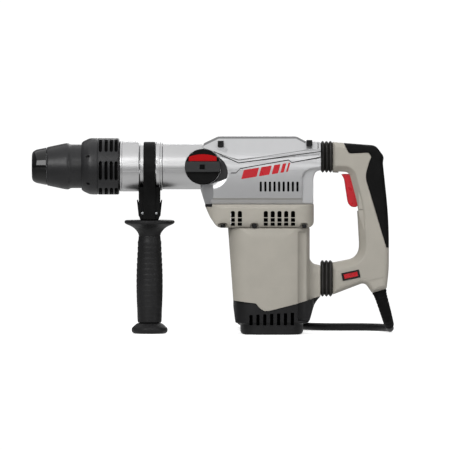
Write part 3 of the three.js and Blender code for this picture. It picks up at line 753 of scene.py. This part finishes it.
def barrel():
    front = lathe("x", AXIS, [
        [-113.6, 28.3, 0.3], [-113.6, 30.4, 0.8], [-112.4, 31.4, 0.6], [-110.9, 31.4, 0.3],
        [-110.6, 31.0, 0.2], [-110.1, 31.0, 0.2], [-109.8, 31.4, 0.3], [-89.2, 31.4, 0.8],
        [-87.8, 29.9, 0.5], [-87.6, 27.4, 0.3], [-68.2, 27.4, 0.3], [-68.2, 29.9, 0.6], [-67, 30.2, 0.4],
        [-63.2, 30.2, 0.3], [-62.9, 29.7, 0.2], [-62.4, 29.7, 0.2], [-62.1, 30.2, 0.3],
        [-60.4, 30.2, 0.3], [-60, 29.8, 0.2], [-60, 24.2], [-95.7, 24.2], [-95.7, 28.3],
    ], 0, 144, 3)
    outside = 34
    seams = [brick([-108.8, -89.9], span(way, 30.7, outside), [AXIS_Z - 5.9, AXIS_Z - 5.4])
             for way in SIDES]
    for low in (AXIS_Z + 3.2, AXIS_Z - 8.6):
        for x in ([-89.8, -86.4], [-68.9, -66.2]):
            seams.append(brick(x, [-outside, -27], [low, low + 5]))
    cut(front, joined(seams))
    piece(front, "front_barrel_turned", "body", "machined", ["front_barrel"])
    rear = lathe("x", AXIS, [
        [-59.7, 24.2], [-59.7, 28.3, 0.3], [-59.2, 28.75, 0.3], [-9.8, 28.75, 0.3], [-9.3, 28.3, 0.3],
        [-9.3, 24.2],
    ], 0, 144, 3)
    lines = [brick([-58, -10], span(way, 27.9, outside), [AXIS_Z - drop, AXIS_Z - drop + 0.9])
             for way in SIDES for drop in (4.4, 7.0)]
    cut(rear, joined(lines))
    piece(rear, "rear_barrel_turned", "body", "machined", ["rear_barrel"])


# ---------------------------------------------------------------- side handle
SIDE_X = -76.0
SIDE = (SIDE_X, 0, 0)
STUD_R = 5.3


def clamp_band():
    band = lathe("x", AXIS, [
        [-83.4, 27.8, 0.2], [-83.4, 29.7, 0.8], [-82.2, 30.6, 0.8], [-69.8, 30.6, 0.8],
        [-68.6, 29.7, 0.8], [-68.6, 27.8, 0.2],
    ], 0, 128, 3)
    foot = brick([-83.4, -68.6], [-12, 12], [159, AXIS_Z - 20], 0.8)
    straps = []
    for way in SIDES:
        path = [[way * 30.5, AXIS_Z], [way * 30.5, AXIS_Z - 9, 8], [way * 19.2, 172, 10],
                [way * 19.0, 142.4, 1], [way * 16.5, 142.4], [way * 16.5, 172, 10],
                [way * 27.9, AXIS_Z - 9, 8], [way * 27.9, AXIS_Z]]
        straps.append(prism("yz", path, -83.4, -68.6, 0.5))
    bore = rod("x", AXIS, -90, -60, 27.8, 0, 128)
    band = cut(fuse(band, foot, *straps), bore, rod("z", SIDE, 129, 179, STUD_R))
    piece(band, "clamp_band_smooth", "side_clamp", "soft", ["clamp_band"])


def carrier():
    """The black block under the band, with its two spring ears and its screws."""
    low, top = 142.1, 183.0
    side = [[-87.6, low, 2], [-64.4, low, 2], [-62.6, 150, 4], [-62.6, top, 1], [-89.4, top, 1],
            [-89.4, 150, 4]]
    front = mirrored([[17, low, 2], [17, 172, 6], [22, top + 1]])
    block = meet(prism("xz", side, -24, 24), prism("yz", front, -95, -58))
    soften(block, 0.6, 3)
    for way in SIDES:
        ear = [[SIDE_X + way * x, z, r] for x, z, r in (
            (11.4, 144.5, 0.4), (13.6, 147, 0.6), (15.8, 167.2, 0.5), (14.7, 167.2, 0.5),
            (11.4, 156, 0.5))]
        fuse(block, prism("xz", ear, -9, 9, 0.4))
    cut(block, brick([-83.7, -68.3], [-12.3, 12.3], [158.7, AXIS_Z]),
        rod("x", AXIS, -96, -55, 31.7, 0, 128), rod("z", SIDE, 129, 179, STUD_R))
    piece(block, "handle_carrier_rounded", "side_clamp", "soft", ["handle_carrier"])
    for way, word in zip(SIDES, ("right", "left")):
        heads = []
        for x in (-84.6, -67.4):
            head = rod("y", (x, 0, 150.6), -0.9, 0.9, 1.6, 0.3, 32)
            cut(head, *[brick([x - 2, x + 2], span(end, 0.4, 1.2), [150.2, 151.0]) for end in SIDES])
            heads.append(moved(head, (0, way * 17.0, 0)))
        piece(joined(heads), "carrier_screws_" + word, "side_clamp", "steel")


def side_grip():
    """The stepped ribs, thicker half way up, and the flange on top."""
    profile = [[13.3, 0], [13.3, 13.8, 0.8], [14.6, 15.0, 1]]
    z, ribs, rib_pitch, step_up, thin_r, swell_r = 20.0, 14, 6.8, 0.3, 14.9, 1.7
    for k in range(ribs):
        swell = thin_r + swell_r * math.sin(math.pi * min(1.0, max(0.0, (z - 13) / 92.0)))
        deep = step_up if k else 0.0
        profile += [[z, swell - 0.1, 0.3], [z + 0.5, swell - deep, 0.3],
                    [z + 6.1, swell - deep * 0.2, 1.2]]
        z += rib_pitch
    profile += [[117, 13.9, 2], [121.6, 13.7, 0.5], [122.2, 13.2, 0.3], [122.8, 13.7, 0.4],
                [125.4, 14.2, 4], [130.2, 17.6, 5], [133.6, 21.9, 4], [137.2, 30.4, 3],
                [139.0, 31.4, 0.8], [140.8, 31.2, 0.6], [141.8, 29.6, 1], [141.8, 0]]
    grip = lathe("z", SIDE, profile, 0, 128, 4)
    cut(grip, rod("z", SIDE, 111.7, 150, STUD_R))
    piece(grip, "side_grip_ribbed", "side_grip_body", "rubber", ["side_grip"])


def side_pommel():
    pommel = lathe("z", SIDE, [
        [0, 0], [0, 19.5, 1.5], [1.2, 21.6, 1.5], [3.2, 22.6, 1.5], [6.6, 22.6, 1.5], [9.0, 20.2, 2],
        [12.9, 15.6, 1.5], [12.9, 0],
    ], 0, 128, 5)
    cut(pommel, lathe("z", SIDE, [[-1, 14.4], [-1, 15.2], [0.7, 15.2, 0.2], [0.7, 14.4, 0.2]], 0, 96))
    piece(pommel, "side_pommel_rounded", "side_grip_body", "rubber", ["side_pommel"])


# ---------------------------------------------------------------- gearcase
KNOB_X = -9.4
KNOB = (KNOB_X, 0, AXIS_Z)
DISH = (-0.8, 0, 201.2)  # the round recess that the knob half covers
DISH_R = 22.9
PARTING = [(-20, 236), (-9, 232.2), (35.4, 217), (112, 228.6), (118.6, 229.5), (150, 230)]
RIM_LINE = [(4.5, 227.9), (35.3, 213.7), (137.4, 228.0)]
PLATE_LINE = [(25.4, 201.2), (31.8, 201.2), (37.4, 206.8), (97.1, 217.4), (101.6, 214.2), (137.4, 221.0)]
CREST_LINE = [(-12, 234.4), (10.6, 245.2), (107.1, 245.2), (118.8, 239.0)]
EDGE_LINE = [(-19, 236), (-9, 232.2), (35.4, 217.3), (118.6, 229.4), (137.6, 229.8)]
GREASE_PLUGS = {"grease_plug_front": (13, 237.6), "grease_plug_rear": (123.3, 238.6)}
PLUG_HALF = 3.6
ROD_Z = 221.0
ROD_HOLE_R = 5.3


def band_of(points, thick, shift=0.0):
    """A thin closed outline along a line of (x, z) points, thick across."""
    upper = [(x, z + shift + thick / 2) for x, z in points]
    lower = [(x, z + shift - thick / 2) for x, z in reversed(points)]
    return upper + lower


def casting():
    """The outside of the gearcase, both of its halves in one."""
    side = [[-6.6, 162.5], [128.3, 162.5, 2], [128.3, 196, 6], [131, 203, 4], [137.7, 204.5, 1],
            [137.7, 239.6, 2], [119.5, 240.1, 4], [107.4, 246.5, 3], [10.3, 246.5, 3], [-9, 237.2, 3],
            [-9, 186], [-12.4, 181.2, 1]]
    section = mirrored([[38.9, 162.5], [40.4, 174, 14], [42, 192, 14], [42, 218, 12], [28, 241, 8],
                        [24, 246.5, 3]])
    body = meet(prism("xz", side, -42, 42), prism("yz", section, -13, 137.7))
    # the rear column and the skirt are narrower than the case
    column = [[114.2, 161], [114.2, 197, 6], [119, 205, 8], [140, 208.3], [140, 161]]
    for way in SIDES:
        skirt = [[way * 38.7, 169.4], [way * 37.4, 161], [way * OUT, 161], [way * OUT, 169.4]]
        cut(body, prism("xz", column, *span(way, 37.2, OUT)))
        cut(body, prism("yz", skirt, -14, 140))
    return body


def gear_housing(case):
    """The lower half, with its grooves, its vents and the angled facets in front, under the knob."""
    for way in SIDES:
        across = span(way, 40.6, OUT)
        cut(case, *[prism("xz", band_of(line, 1.1), *across) for line in (RIM_LINE, PLATE_LINE)])
        cut(case, prism("xz", band_of(EDGE_LINE, 1.1, -0.3), *span(way, 41.1, OUT)))
        vents = []
        for k in range(9):
            x = 62.8 + 5.7 * k
            vents.append(prism("xz", box_of((x - 1.4, x + 1.4), (178, 190.6), 1.35), *span(way, 33, OUT)))
        cut(case, joined(vents))
        facet = [[-20, way * 26], [-9, way * 31], [3.8, way * 40.4], [3.8, way * OUT], [-20, way * OUT]]
        cut(case, prism("xy", facet, 150, 187))
    piece(case, "gear_housing_cast", "body", "silver", ["gear_housing"])


def top_cover(cover):
    """The upper half, with its groove, its dishes and its plugs. The crest band is a darker silver, as
    painted shade.
    """
    for way in SIDES:
        cut(cover, prism("xz", band_of(EDGE_LINE, 1.1, 0.3), *span(way, 39.6, OUT)))
    half = PLUG_HALF + 0.3
    for x, z in GREASE_PLUGS.values():
        cut(cover, brick([x - half, x + half], [-44, -28.2], [z - half, z + half]))
    dish_front = prism("xz", [
        [17.2, 236, 1], [21.6, 231, 1], [20.4, 225.9, 2], [9.2, 229.5, 2], [8.6, 234, 1]], -OUT, -33.2)
    dish_rear = prism("xz", [
        [113.3, 239.2, 1], [119, 239.4, 1], [119, 232, 1], [133, 231.1, 1], [131, 229.8, 1],
        [115.5, 229.9, 1]], -OUT, -34.5)
    cut(cover, dish_front, dish_rear, brick([133.3, 135.2], [-OUT, -26], [230.8, 238.6]))
    # the crest band takes the darker silver: painted shade along the top edge
    rims = [prism("xz", band_of(CREST_LINE, 2.8), *span(way, 20, OUT)) for way in SIDES]
    crest = copy_of(cover)
    meet(crest, joined([copy_of(rim) for rim in rims]))
    cut(cover, joined(rims))
    piece(cover, "top_cover_cast", "body", "silver", ["top_cover"])
    piece(crest, "top_cover_crest", "body", "edge", ["top_cover"])
    for node, (x, z) in GREASE_PLUGS.items():
        square = brick([x - PLUG_HALF, x + PLUG_HALF], [-37, -28.5], [z - PLUG_HALF, z + PLUG_HALF], 0.5)
        cut(square, rod("y", (x, 0, z), -38, -35.4, 2.2, 0, 6))
        piece(square, node + "_moulded", "body", "black", [node])


def groove_and_vent_shade():
    """Dark strips at the bottom of the grooves, and dark sheets behind the vents: painted shade."""
    strips = []
    for way in SIDES:
        for line, thick, deep in (
                (RIM_LINE, 1.0, 41.2), (PLATE_LINE, 1.0, 41.2), (PARTING[1:], 0.36, 41.0)):
            strips.append(prism("xz", band_of(line, thick), *span(way, deep - 0.5, deep)))
    within = brick([-9, 137.6], [-OUT, OUT], [190, 240])
    piece(meet(joined(strips), within), "groove_painted_shade", "body", "hollow")
    for way, word in zip(SIDES, ("right", "left")):
        piece(brick([58, 113], span(way, 33.6, 34.6), [172, 196]), "vent_painted_shade_" + word, "body", "hollow")


def gearcase():
    body = fuse(casting(), rod("y", KNOB, -42.4, -20, 22.7, 0.8, 96))
    dish = lathe("y", DISH, [[-44, 0], [-44, DISH_R + 0.4], [-42.05, DISH_R + 0.4, 0.5],
                             [-39.6, DISH_R - 7.2, 1], [-39.6, 0]], 0, 128, 6)
    soften(cut(body, dish), 0.75, 3)
    barrel_room = rod("x", AXIS, -60, -9.2, 29.1, 0, 128)
    seat = fuse(rod("x", AXIS, -12, 17, 24.3, 0, 96), rod("x", AXIS, -4, 17, 27.3, 0, 96))
    inside = [[12, 161], [123, 161], [123, 236.5], [116, 236.5], [105, 242.4], [12, 242.4]]
    hollow = meet(prism("xz", inside, -36, 36),
                  prism("yz", mirrored([[36, 161], [36, 216], [22, 240]]), 12, 123))
    rod_hole = rod("x", (0, 0, ROD_Z), 122, 150, ROD_HOLE_R)
    cut(body, barrel_room, seat, hollow, rod_hole, rod("y", KNOB, -45, -30, 5.4))

    gap = 0.2
    above = [(x, z - gap) for x, z in PARTING] + [(150, 300), (-20, 300)]
    below = [(x, z + gap) for x, z in PARTING] + [(150, 100), (-20, 100)]
    cover = copy_of(body)
    cut(cover, prism("xz", below, -OUT, OUT), brick([-OUT, -9.0], [-OUT, OUT], [150, 260]))
    gear_housing(cut(body, prism("xz", above, -OUT, OUT)))
    top_cover(cover)
    groove_and_vent_shade()


def knob_dish_shade():
    """A dark plate in the recess, on the side that the knob doesn't cover: painted shade for the recess's
    upper part.
    """
    plate = rod("y", DISH, -42.0, -39.7, DISH_R - 0.3, 0.4, 96)
    cut(plate, rod("y", KNOB, -50, -30, 22.9, 0, 96),
        prism("xz", [[-40, 174.0], [40, 201.3], [40, 150], [-40, 150]], -OUT, -20),
        brick([-30, -4], [-OUT, -20], [150, 209]))
    piece(plate, "knob_dish_shade", "body", "chuck")


def accent():
    """Plain slanted red bars where the plate carries its decoration."""
    first, rise, high, slant, fillet = 38.5, 0.16, 11.4, 3.2, 0.8
    bars = []
    for x, width in ((first, 19), (60.3, 13), (76.2, 8), (87.0, 4.4), (94.0, 2.4)):
        low = 193.6 + (x - first) * rise
        end = low + width * rise
        corners = [[x, low, fillet], [x + width, end, fillet], [x + width + slant, end + high, fillet],
                   [x + slant, low + high, fillet]]
        bars.append(prism("xz", corners, -42.2, -41.5, 0.1, 4))
    piece(joined(bars), "accent_bars", "body", "red")


def knob():
    disc = lathe("y", KNOB, [[-42.8, 0], [-42.8, 22.0, 0.5], [-45.8, 22.4, 1.2], [-47, 20.6, 0.6],
                             [-46.7, 19.8, 0.3], [-46.7, 0]], 0, 128, 5)
    fuse(disc, rod("y", KNOB, -43.5, -31, 5))
    low = lathe("y", KNOB, [[-46.2, 0], [-46.2, 19.2], [-48, 19.2], [-48, 0]], 0, 128)
    lower_half = brick([KNOB_X - 30, KNOB_X + 30], [-52, -44], [AXIS_Z - 6.8, AXIS_Z + 30])
    cut(disc, cut(low, lower_half))
    piece(disc, "mode_knob_disc", "selector", "soft", ["mode_knob"])
    bar = brick([KNOB_X - 22, KNOB_X + 22], [-50.6, -46.4], [AXIS_Z - 6.5, AXIS_Z + 6.5])
    soften(meet(bar, rod("y", KNOB, -52, -44, 21.7, 0, 96)), 0.35, 3)
    pocket = brick([KNOB_X - 4.1, KNOB_X + 2.9], [-52, -49.6], [AXIS_Z - 3.3, AXIS_Z + 3.0], 0.2)
    dots = [rod("y", (KNOB_X + x, 0, AXIS_Z + 0.2), -52, -50.0, 1.1, 0, 24) for x in (-17.5, 17.5)]
    cut(bar, pocket, *dots)
    piece(bar, "mode_knob_bar", "selector", "bar", ["mode_knob"])
    # a dark plate at the floor of the bar's pocket, in the painted shade black
    mark = brick([KNOB_X - 3.7, KNOB_X + 2.5], [-50.2, -49.5], [AXIS_Z - 2.9, AXIS_Z + 2.6], 0.2)
    piece(mark, "mode_knob_mark", "selector", "hollow")
    steps = 8
    crown = [[KNOB_X + 17.2 * i / steps, AXIS_Z + 15.6 - 3.2 * (i / steps) ** 2]
             for i in range(steps, -steps - 1, -1)]
    foot = [[KNOB_X - 17.4, AXIS_Z + 7.1], [KNOB_X + 17.4, AXIS_Z + 7.1]]
    red = prism("xz", foot + crown, -48.4, -46.9, 0.25)
    piece(red, "knob_insert_red", "selector", "deep_red", ["knob_insert"])


chuck()
sleeve_spring()
barrel()
clamp_band()
carrier()
side_grip()
side_pommel()
gearcase()
knob_dish_shade()
accent()
knob()


# ---------------------------------------------------------------- motor
FLANGE_RIM = ((-7, 129), 51, 26)
FLANGE_SCREWS_X = (15.6, 54.9, 116.9)
LOUVRES_X = (28.0, 36.8, 69.0, 77.6, 86.0, 94.3, 102.8)
LOUVRES_Z = ((135.6, 139.7), (140.5, 145.3), (146.1, 154.2))
SEAM = [[28.3, 42.5], [56.7, 39, 4], [62.1, 32.6, 3], [67.1, 29.6, 2], [72.6, 29.6, 4], [108.4, 38.6],
        [140, 47.7]]  # between the motor housing and the base cap
SEAM_GAP = 0.15
NECK_HALF = 17
LOWER_Z = 69.0


def ring_of(x, half, fillet):
    return box_of(x, (-half, half), fillet)


def flange():
    top, step = 162.2, 159.0
    plan = prism("xy", ring_of(*FLANGE_RIM), 133, top, 0, 16)
    side = [[-7, top], [-6.2, 159.5, 1], [-0.4, 146.5, 3], [7.2, 135.5, 5], [12, 133, 3], [123.5, 133, 5],
            [129, 137.5, 4], [129, top]]
    front = mirrored([[45.5, 133, 5], [51, 140, 8], [51, top]])
    body = meet(plan, prism("xz", side, -OUT, OUT), prism("yz", front, -10, 131))
    # a low step just under the gearcase
    for way in SIDES:
        cut(body, brick([-10, 131], span(way, 50.0, OUT), [158.4, 170]))
    soften(body, 0.9, 4)
    cut(body, prism("xy", ring_of((16, 126.2), 38, 12), 132, top + 1))
    cut(body, *[brick([-9, 2.4], span(way, 24, OUT), [step, 164]) for way in SIDES])
    bumpers = []
    for way in SIDES:
        corner = prism("xy", grown(outline(ring_of(*FLANGE_RIM), steps=16), -0.5), 159.2, 162.3)
        bumpers.append(meet(corner, brick([-9, 2.2], span(way, 24.2, OUT), [step, 163])))
    piece(joined(bumpers), "corner_bumpers", "body", "rubber")
    louvres(body)
    piece(body, "motor_flange_moulded", "body", "grey", ["motor_flange"])
    # dark sheets behind the louvres: painted shade in the openings
    louvre_shade_sheets = [brick([25.9, 107], span(way, 37.0, 37.5), [134.2, 156]) for way in SIDES]
    piece(joined(louvre_shade_sheets), "flange_painted_shade", "body", "hollow")
    screws = []
    for way in SIDES:
        for x in FLANGE_SCREWS_X:
            head = rod("z", (x, way * 45.6, 0), 133.2, 137.6, 2.9, 0.5, 32)
            cut(head, rod("z", (x, way * 45.6, 0), 132.5, 134.8, 1.5, 0, 6))
            screws.append(head)
    piece(joined(screws), "flange_screws", "body", "black")


def louvres(body):
    """Three rows of openings, the top ones with round heads, and the recesses of the screws."""
    half, outside = 2.6, 62
    for way in SIDES:
        tools = []
        for x in LOUVRES_X:
            for z in LOUVRES_Z:
                round_top = 2.5 if z == LOUVRES_Z[-1] else 0.4
                opening = box_of((x - half, x + half), z, 0.4, round_top)
                tools.append(prism("xz", opening, *span(way, 36, outside)))
        for x, r in zip(FLANGE_SCREWS_X, (6.6, 5.8, 5.8)):
            recess = mirrored([[r, 130], [r, 134.5, r * 0.9], [r * 0.8, 139.4, r * 0.6]], x)
            tools.append(prism("xz", recess, *span(way, 42.5, outside)))
        cut(body, joined(tools))


def flutes(body, y, low, high):
    """Upright hollows at the motor's rear, beside its neck. y is how far out three of their points are."""
    for way in SIDES:
        hollow = [[108.9, way * OUT], [108.9, way * y[0], 1.5], [113.5, way * y[1], 4], [120, way * y[2],
                  3],
                  [130, way * 33], [130, way * OUT]]
        cut(body, prism("xy", hollow, low, high))


def motor_housing():
    top = 132.7
    plan = prism("xy", ring_of((21.7, 124), 48, 34), 28, top, 0, 20)
    side = [[22, top], [29.6, 28], [124, 28], [124, top]]
    front = mirrored([[48, 28], [48, 123, 8], [45.2, top]])
    body = meet(plan, prism("xz", side, -OUT, OUT), prism("yz", front, 15, 130))
    flutes(body, (42.6, 36.5, 33.5), 20, 128)
    neck_top = [[112, 30], [137.4, 30], [137.4, 85.2, 1], [128, 86.8, 6], [123.8, 94, 4], [118, 96]]
    neck_side = mirrored([[NECK_HALF, 28], [NECK_HALF, 78, 4], [12, 95, 6]])
    fuse(body, meet(prism("xz", neck_top, -NECK_HALF, NECK_HALF), prism("yz", neck_side, 111, 138)))
    soften(body, 0.9, 4)
    below = [[0, 0], [150, 0]] + [[x, z + SEAM_GAP] for x, z, *_ in reversed(SEAM)] + [[0, 42.6]]
    cut(body, prism("xz", below, -70, 70), prism("xy", ring_of((31.3, 118.7), 43.3, 30), 20, top + 1),
        rod("x", (0, 0, LOWER_Z), 117, 140, ROD_HOLE_R))
    piece(body, "motor_housing_moulded", "body", "grey", ["motor_housing"])


def base_cap():
    plan = prism("xy", ring_of((28.6, 129.6), 47, 32), 12, 50, 0, 20)
    rear = [[137.3, 46.9, 1], [129.6, 37.6, 8], [123.6, 16.5, 3]]
    side = [[31.2, 14.2, 1.5], [27.6, 42, 0], [27.6, 50], [137.3, 50], *rear, [120, 14.2, 1]]
    body = meet(plan, prism("xz", side, -OUT, OUT))
    neck = [[112, 14.2], [118, 14.2, 1], *reversed(rear), [137.3, 50], [112, 50]]
    neck = meet(prism("xz", neck, -NECK_HALF, NECK_HALF),
                prism("yz", box_of((-NECK_HALF, NECK_HALF), (10, 50)), 110, 138))
    flutes(body, (41.6, 36, 33), 17, 60)
    foot_side = [[37.4, 16], [37.4, 2.6, 2.5], [40.6, 0, 2.5], [112.8, 0, 2.5], [115.9, 2.6, 2.5],
                 [115.9, 16]]
    foot = prism("xy", ring_of((37.4, 115.9), 45.5, 30), 0, 16, 0, 20)
    meet(foot, prism("xz", foot_side, -OUT, OUT))
    soften(fuse(body, neck, foot), 0.8, 3)
    above = [[0, 42.4]] + [[x, z - SEAM_GAP] for x, z, *_ in SEAM] + [[150, 48], [150, 90], [0, 90]]
    cut(body, prism("xz", above, -70, 70), prism("xy", ring_of((40, 112), 37.5, 24), 5, 60))
    fuse(body, lathe("z", (74, 0, 0), [[4, 14.3], [4, 18], [27, 18], [27, 14.3]]))
    for way in SIDES:
        slots = []
        for k in range(7):
            x = 50.7 + 8.56 * k
            opening = box_of((x - 2.05, x + 2.05), (11.6, 24.6 + 0.5 * k), 0.6, 1.0)
            slots.append(prism("xz", opening, *span(way, 33, OUT)))
        cut(body, joined(slots))
    cut(body, *[lathe("z", (x, y, 0), [[-1, 6], [-1, 7], [0.8, 7], [0.8, 6]], 0, 48)
                for x in (55, 99) for y in (-26, 26)])
    piece(body, "base_cap_vented", "body", "black", ["base_cap"])
    # a dark box behind the vents: painted shade in the openings
    vent_shade_box = prism("xy", ring_of((40.6, 111.4), 36.9, 23.4), 8, 30)
    cut(vent_shade_box, prism("xy", ring_of((41.4, 110.6), 36.1, 22.6), 7, 31))
    piece(vent_shade_box, "base_cap_painted_shade", "body", "hollow")


# ---------------------------------------------------------------- bellows and rear handle
def bellows():
    folds, fold_deep, half, hole_r, steps, sides = 3, 2.6, 16, 8, 48, 96
    squareness = 0.45
    x1 = 152.5
    for name, x0, z, high in (
            ("upper_bellows", 137.9, ROD_Z, 19.8), ("lower_bellows", 137.6, LOWER_Z, 22.8)):
        bm = bmesh.new()
        rings = []
        for i in range(steps + 1):
            t = i / steps
            wave = 0.5 - 0.5 * math.cos(2 * math.pi * folds * t)
            grow = fold_deep * (wave ** 0.6 - 1)
            ring = []
            for c, s in circle(sides):
                y = math.copysign(abs(c) ** squareness, c) * (half + grow)
                h = math.copysign(abs(s) ** squareness, s) * (high + grow)
                ring.append(bm.verts.new((x0 + (x1 - x0) * t, y, z + h)))
            rings.append(ring)
        for x in (x1, x0):
            rings.append([bm.verts.new((x, hole_r * c, z + hole_r * s)) for c, s in circle(sides)])
        bridge(bm, rings, False)
        boot = piece(solid(bm), name + "_folded", "body", "boot", [name], 60, False)
        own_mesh(boot)


FRONT = 152.7
REAR = 222.9
ARM_OUTSIDE = [
    [FRONT, 239.6], [166.2, 238.2], [206.4, 235.1, 5], [216.9, 221, 4], [215.3, 214, 3],
    [REAR, 142.5, 30], [REAR, 80, 12], [220.2, 56.4, 2], [201.9, 50.9, 1.5], [192.7, 64.2, 6],
    [FRONT, 48.9],
]
ARM_EDGE = [
    [166.2, 237.9], [172.6, 225, 2.5], [197.3, 226, 2.5], [200.6, 220.6, 1.5], [198.3, 215.9, 3],
    [192.7, 196.6, 8], [219.3, 107.6],
]
FINGER_GAP = [
    [135, 200.3], [152.8, 201.3, 2], [172, 200.5, 5], [181.6, 164, 5], [183.6, 151.9, 6],
    [186.3, 104.4, 10], [178.9, 93.9, 7], [150.6, 88.4, 4], [135, 88],
]
ROCKER_AT = (175.3, 0, 73.4)
ARM_TILT = -12.0
CORD_LEAN = -16.7
HANDLE_SCREWS = [(158.5, 232), (158.5, 207.5), (212.5, 112), (203, 74), (158.5, 83.5), (158.5, 57.5)]


def core_outline(less):
    """The grey core under the black grip, less by so much on every side."""
    skin = 3 + less
    return [
        [164, 236.5 - less], [172, 234.4 - less], [206 - less, 231.8 - less, 4], [216.9 - skin, 221, 2.5],
        [215.3 - skin, 215, 2.5], [REAR - skin, 142.5, 20], [REAR - skin, 104], [200, 104], [185, 150],
        [185, 205], [164, 212],
    ]


def arm(half):
    """The outside of the whole rear handle, rounded over, with the hand opening flared on both sides."""
    body = drafted("xz", ARM_OUTSIDE, pillow(half, 7.0, 7))
    meet(body, brick([FRONT - 0.01, 240], [-30, 30], [40, 250]))
    flare = [(6.5, 0), (10.5, 1.5), (half, 9.0), (half + 2, 11.0)]
    flare = [(-across, by) for across, by in reversed(flare)] + flare
    return cut(body, drafted("xz", FINGER_GAP, flare))


def rear_handle():
    body = soften(arm(18.0), 0.8, 4)
    band = ARM_EDGE + [[240, 107.6], [240, 260], [166.2, 260]]
    core_half = 16.5
    grip = soften(arm(18.5), 0.8, 4)
    shifted = [[x + 0.45, z + 0.3, *r] for x, z, *r in ARM_EDGE] + [[240, 107.9], [240, 260],
               [166.6, 260]]
    meet(grip, prism("xz", shifted, -30, 30))
    cut(grip, prism("xz", core_outline(0.0), -core_half, core_half))
    piece(grip, "grip_overmould_soft", "rear_handle", "soft", ["grip_overmould"])

    cut(body, prism("xz", band, -30, 30))
    fuse(body, prism("xz", core_outline(0.3), 0.3 - core_half, core_half - 0.3))
    hollow = prism("xz", [
        [140, 232], [200, 229], [209, 220], [209, 213], [215, 142.5], [215, 80], [192, 68.6], [140, 56],
        [140, 79], [178, 86], [193, 100], [191.5, 152], [186, 206], [140, 211]], -9, 9)
    cord_hole = moved(rod("z", (0, 0, 0), -1, 16, 5.6, 0, 48), (211, 0, 53.6), CORD_LEAN, "Y")
    window = brick([-9.1, 9.1], [-21, -13], [-3.3, 3.3])
    moved(window, ROCKER_AT, ARM_TILT, "Y")
    cut(body, hollow, brick([160, 196], [-10.5, 10.5], [153, 203]), cord_hole, window)
    low_line = band_of([(193.5, 65.4), (199, 66.7), (222, 72.4)], 0.6)
    lines = [prism("xz", low_line, *span(way, 17.45, 25)) for way in SIDES]
    lines.append(prism("xz", [[183.0, 155.5], [191.5, 155.5], [191.5, 154.9], [183.0, 154.9]], -19, 19))
    cut(body, joined(lines))
    cut(body, joined([rod("y", (x, 0, z), 14.5, 25, 3.7, 0, 32) for x, z in HANDLE_SCREWS]))
    half_gap = 0.12
    left = copy_of(body)
    cut(left, brick([100, 260], [-OUT, half_gap], [0, 300]))
    right = cut(body, brick([100, 260], [-half_gap, OUT], [0, 300]))
    piece(right, "handle_shell_right_moulded", "rear_handle", "grey", ["handle_shell_right"])
    piece(left, "handle_shell_left_moulded", "rear_handle", "grey", ["handle_shell_left"])
    heads = []
    for x, z in HANDLE_SCREWS:
        head = rod("y", (x, 0, z), 13.0, 15.9, 3.0, 0.5, 32)
        cut(head, rod("y", (x, 0, z), 14.6, 17, 1.6, 0, 6))
        heads.append(head)
    piece(joined(heads), "handle_screws", "rear_handle", "dark_steel")


def switches():
    trigger = drafted("xz", [
        [163.3, 199.4, 1], [167.0, 193.9, 3], [168.9, 181, 8], [171.7, 162.8, 4], [176, 158.1, 3],
        [182, 158.1, 1], [185, 161], [188, 190], [186, 199.4]], [(-9.9, 0), (9.9, 0)])
    trigger = soften(trigger, 0.5, 12)
    piece(trigger, "trigger_moulded", "trigger_body", "red", ["trigger"])
    bezel = brick([-11.2, 11.2], [-19.6, -18.2], [-4.9, 4.9], 0.6)
    cut(bezel, brick([-9.1, 9.1], [-22, -16], [-3.3, 3.3]))
    moved(bezel, ROCKER_AT, ARM_TILT, "Y")
    piece(bezel, "rocker_bezel_moulded", "rear_handle", "black", ["rocker_bezel"])
    low = [[-8.7, -15], [-8.7, -19.2, 0.6], [0, -18.2, 3], [8.7, -19.2, 0.6], [8.7, -15]]
    rocker = prism("xy", low, -2.9, 2.9, 0.35)
    cut(rocker, rod("y", (0, 0, 0), -20, -17.6, 1.0, 0, 24))
    moved(rocker, ROCKER_AT, ARM_TILT, "Y")
    piece(rocker, "rocker_moulded", "rocker_body", "red", ["rocker"])


# ---------------------------------------------------------------- the pieces that stay as they are
INNER = {
    "steel": ["spindle", "spindle_gear", "lock_roller_top", "lock_roller_bottom", "impact_bolt",
              "striker", "wrist_pin", "connecting_rod", "crankshaft", "crank_gear", "intermediate_gear",
              "intermediate_shaft", "armature_shaft", "armature_core", "armature_bearing_upper",
              "armature_bearing_lower", "field_stator", "front_bearing", "rear_bearing", "clamp_stud",
              "upper_guide_rod", "lower_guide_rod"],
    "machined": ["piston"],
    "copper": ["commutator"],
    "carbon": ["brush_right", "brush_left"],
    "black": ["fan", "switch_body"],
}


def inner_pieces():
    for look, names in INNER.items():
        for name in names:
            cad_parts[name].material_slots[0].material = MATERIALS[look]


flange()
motor_housing()
base_cap()
bellows()
rear_handle()
switches()
inner_pieces()
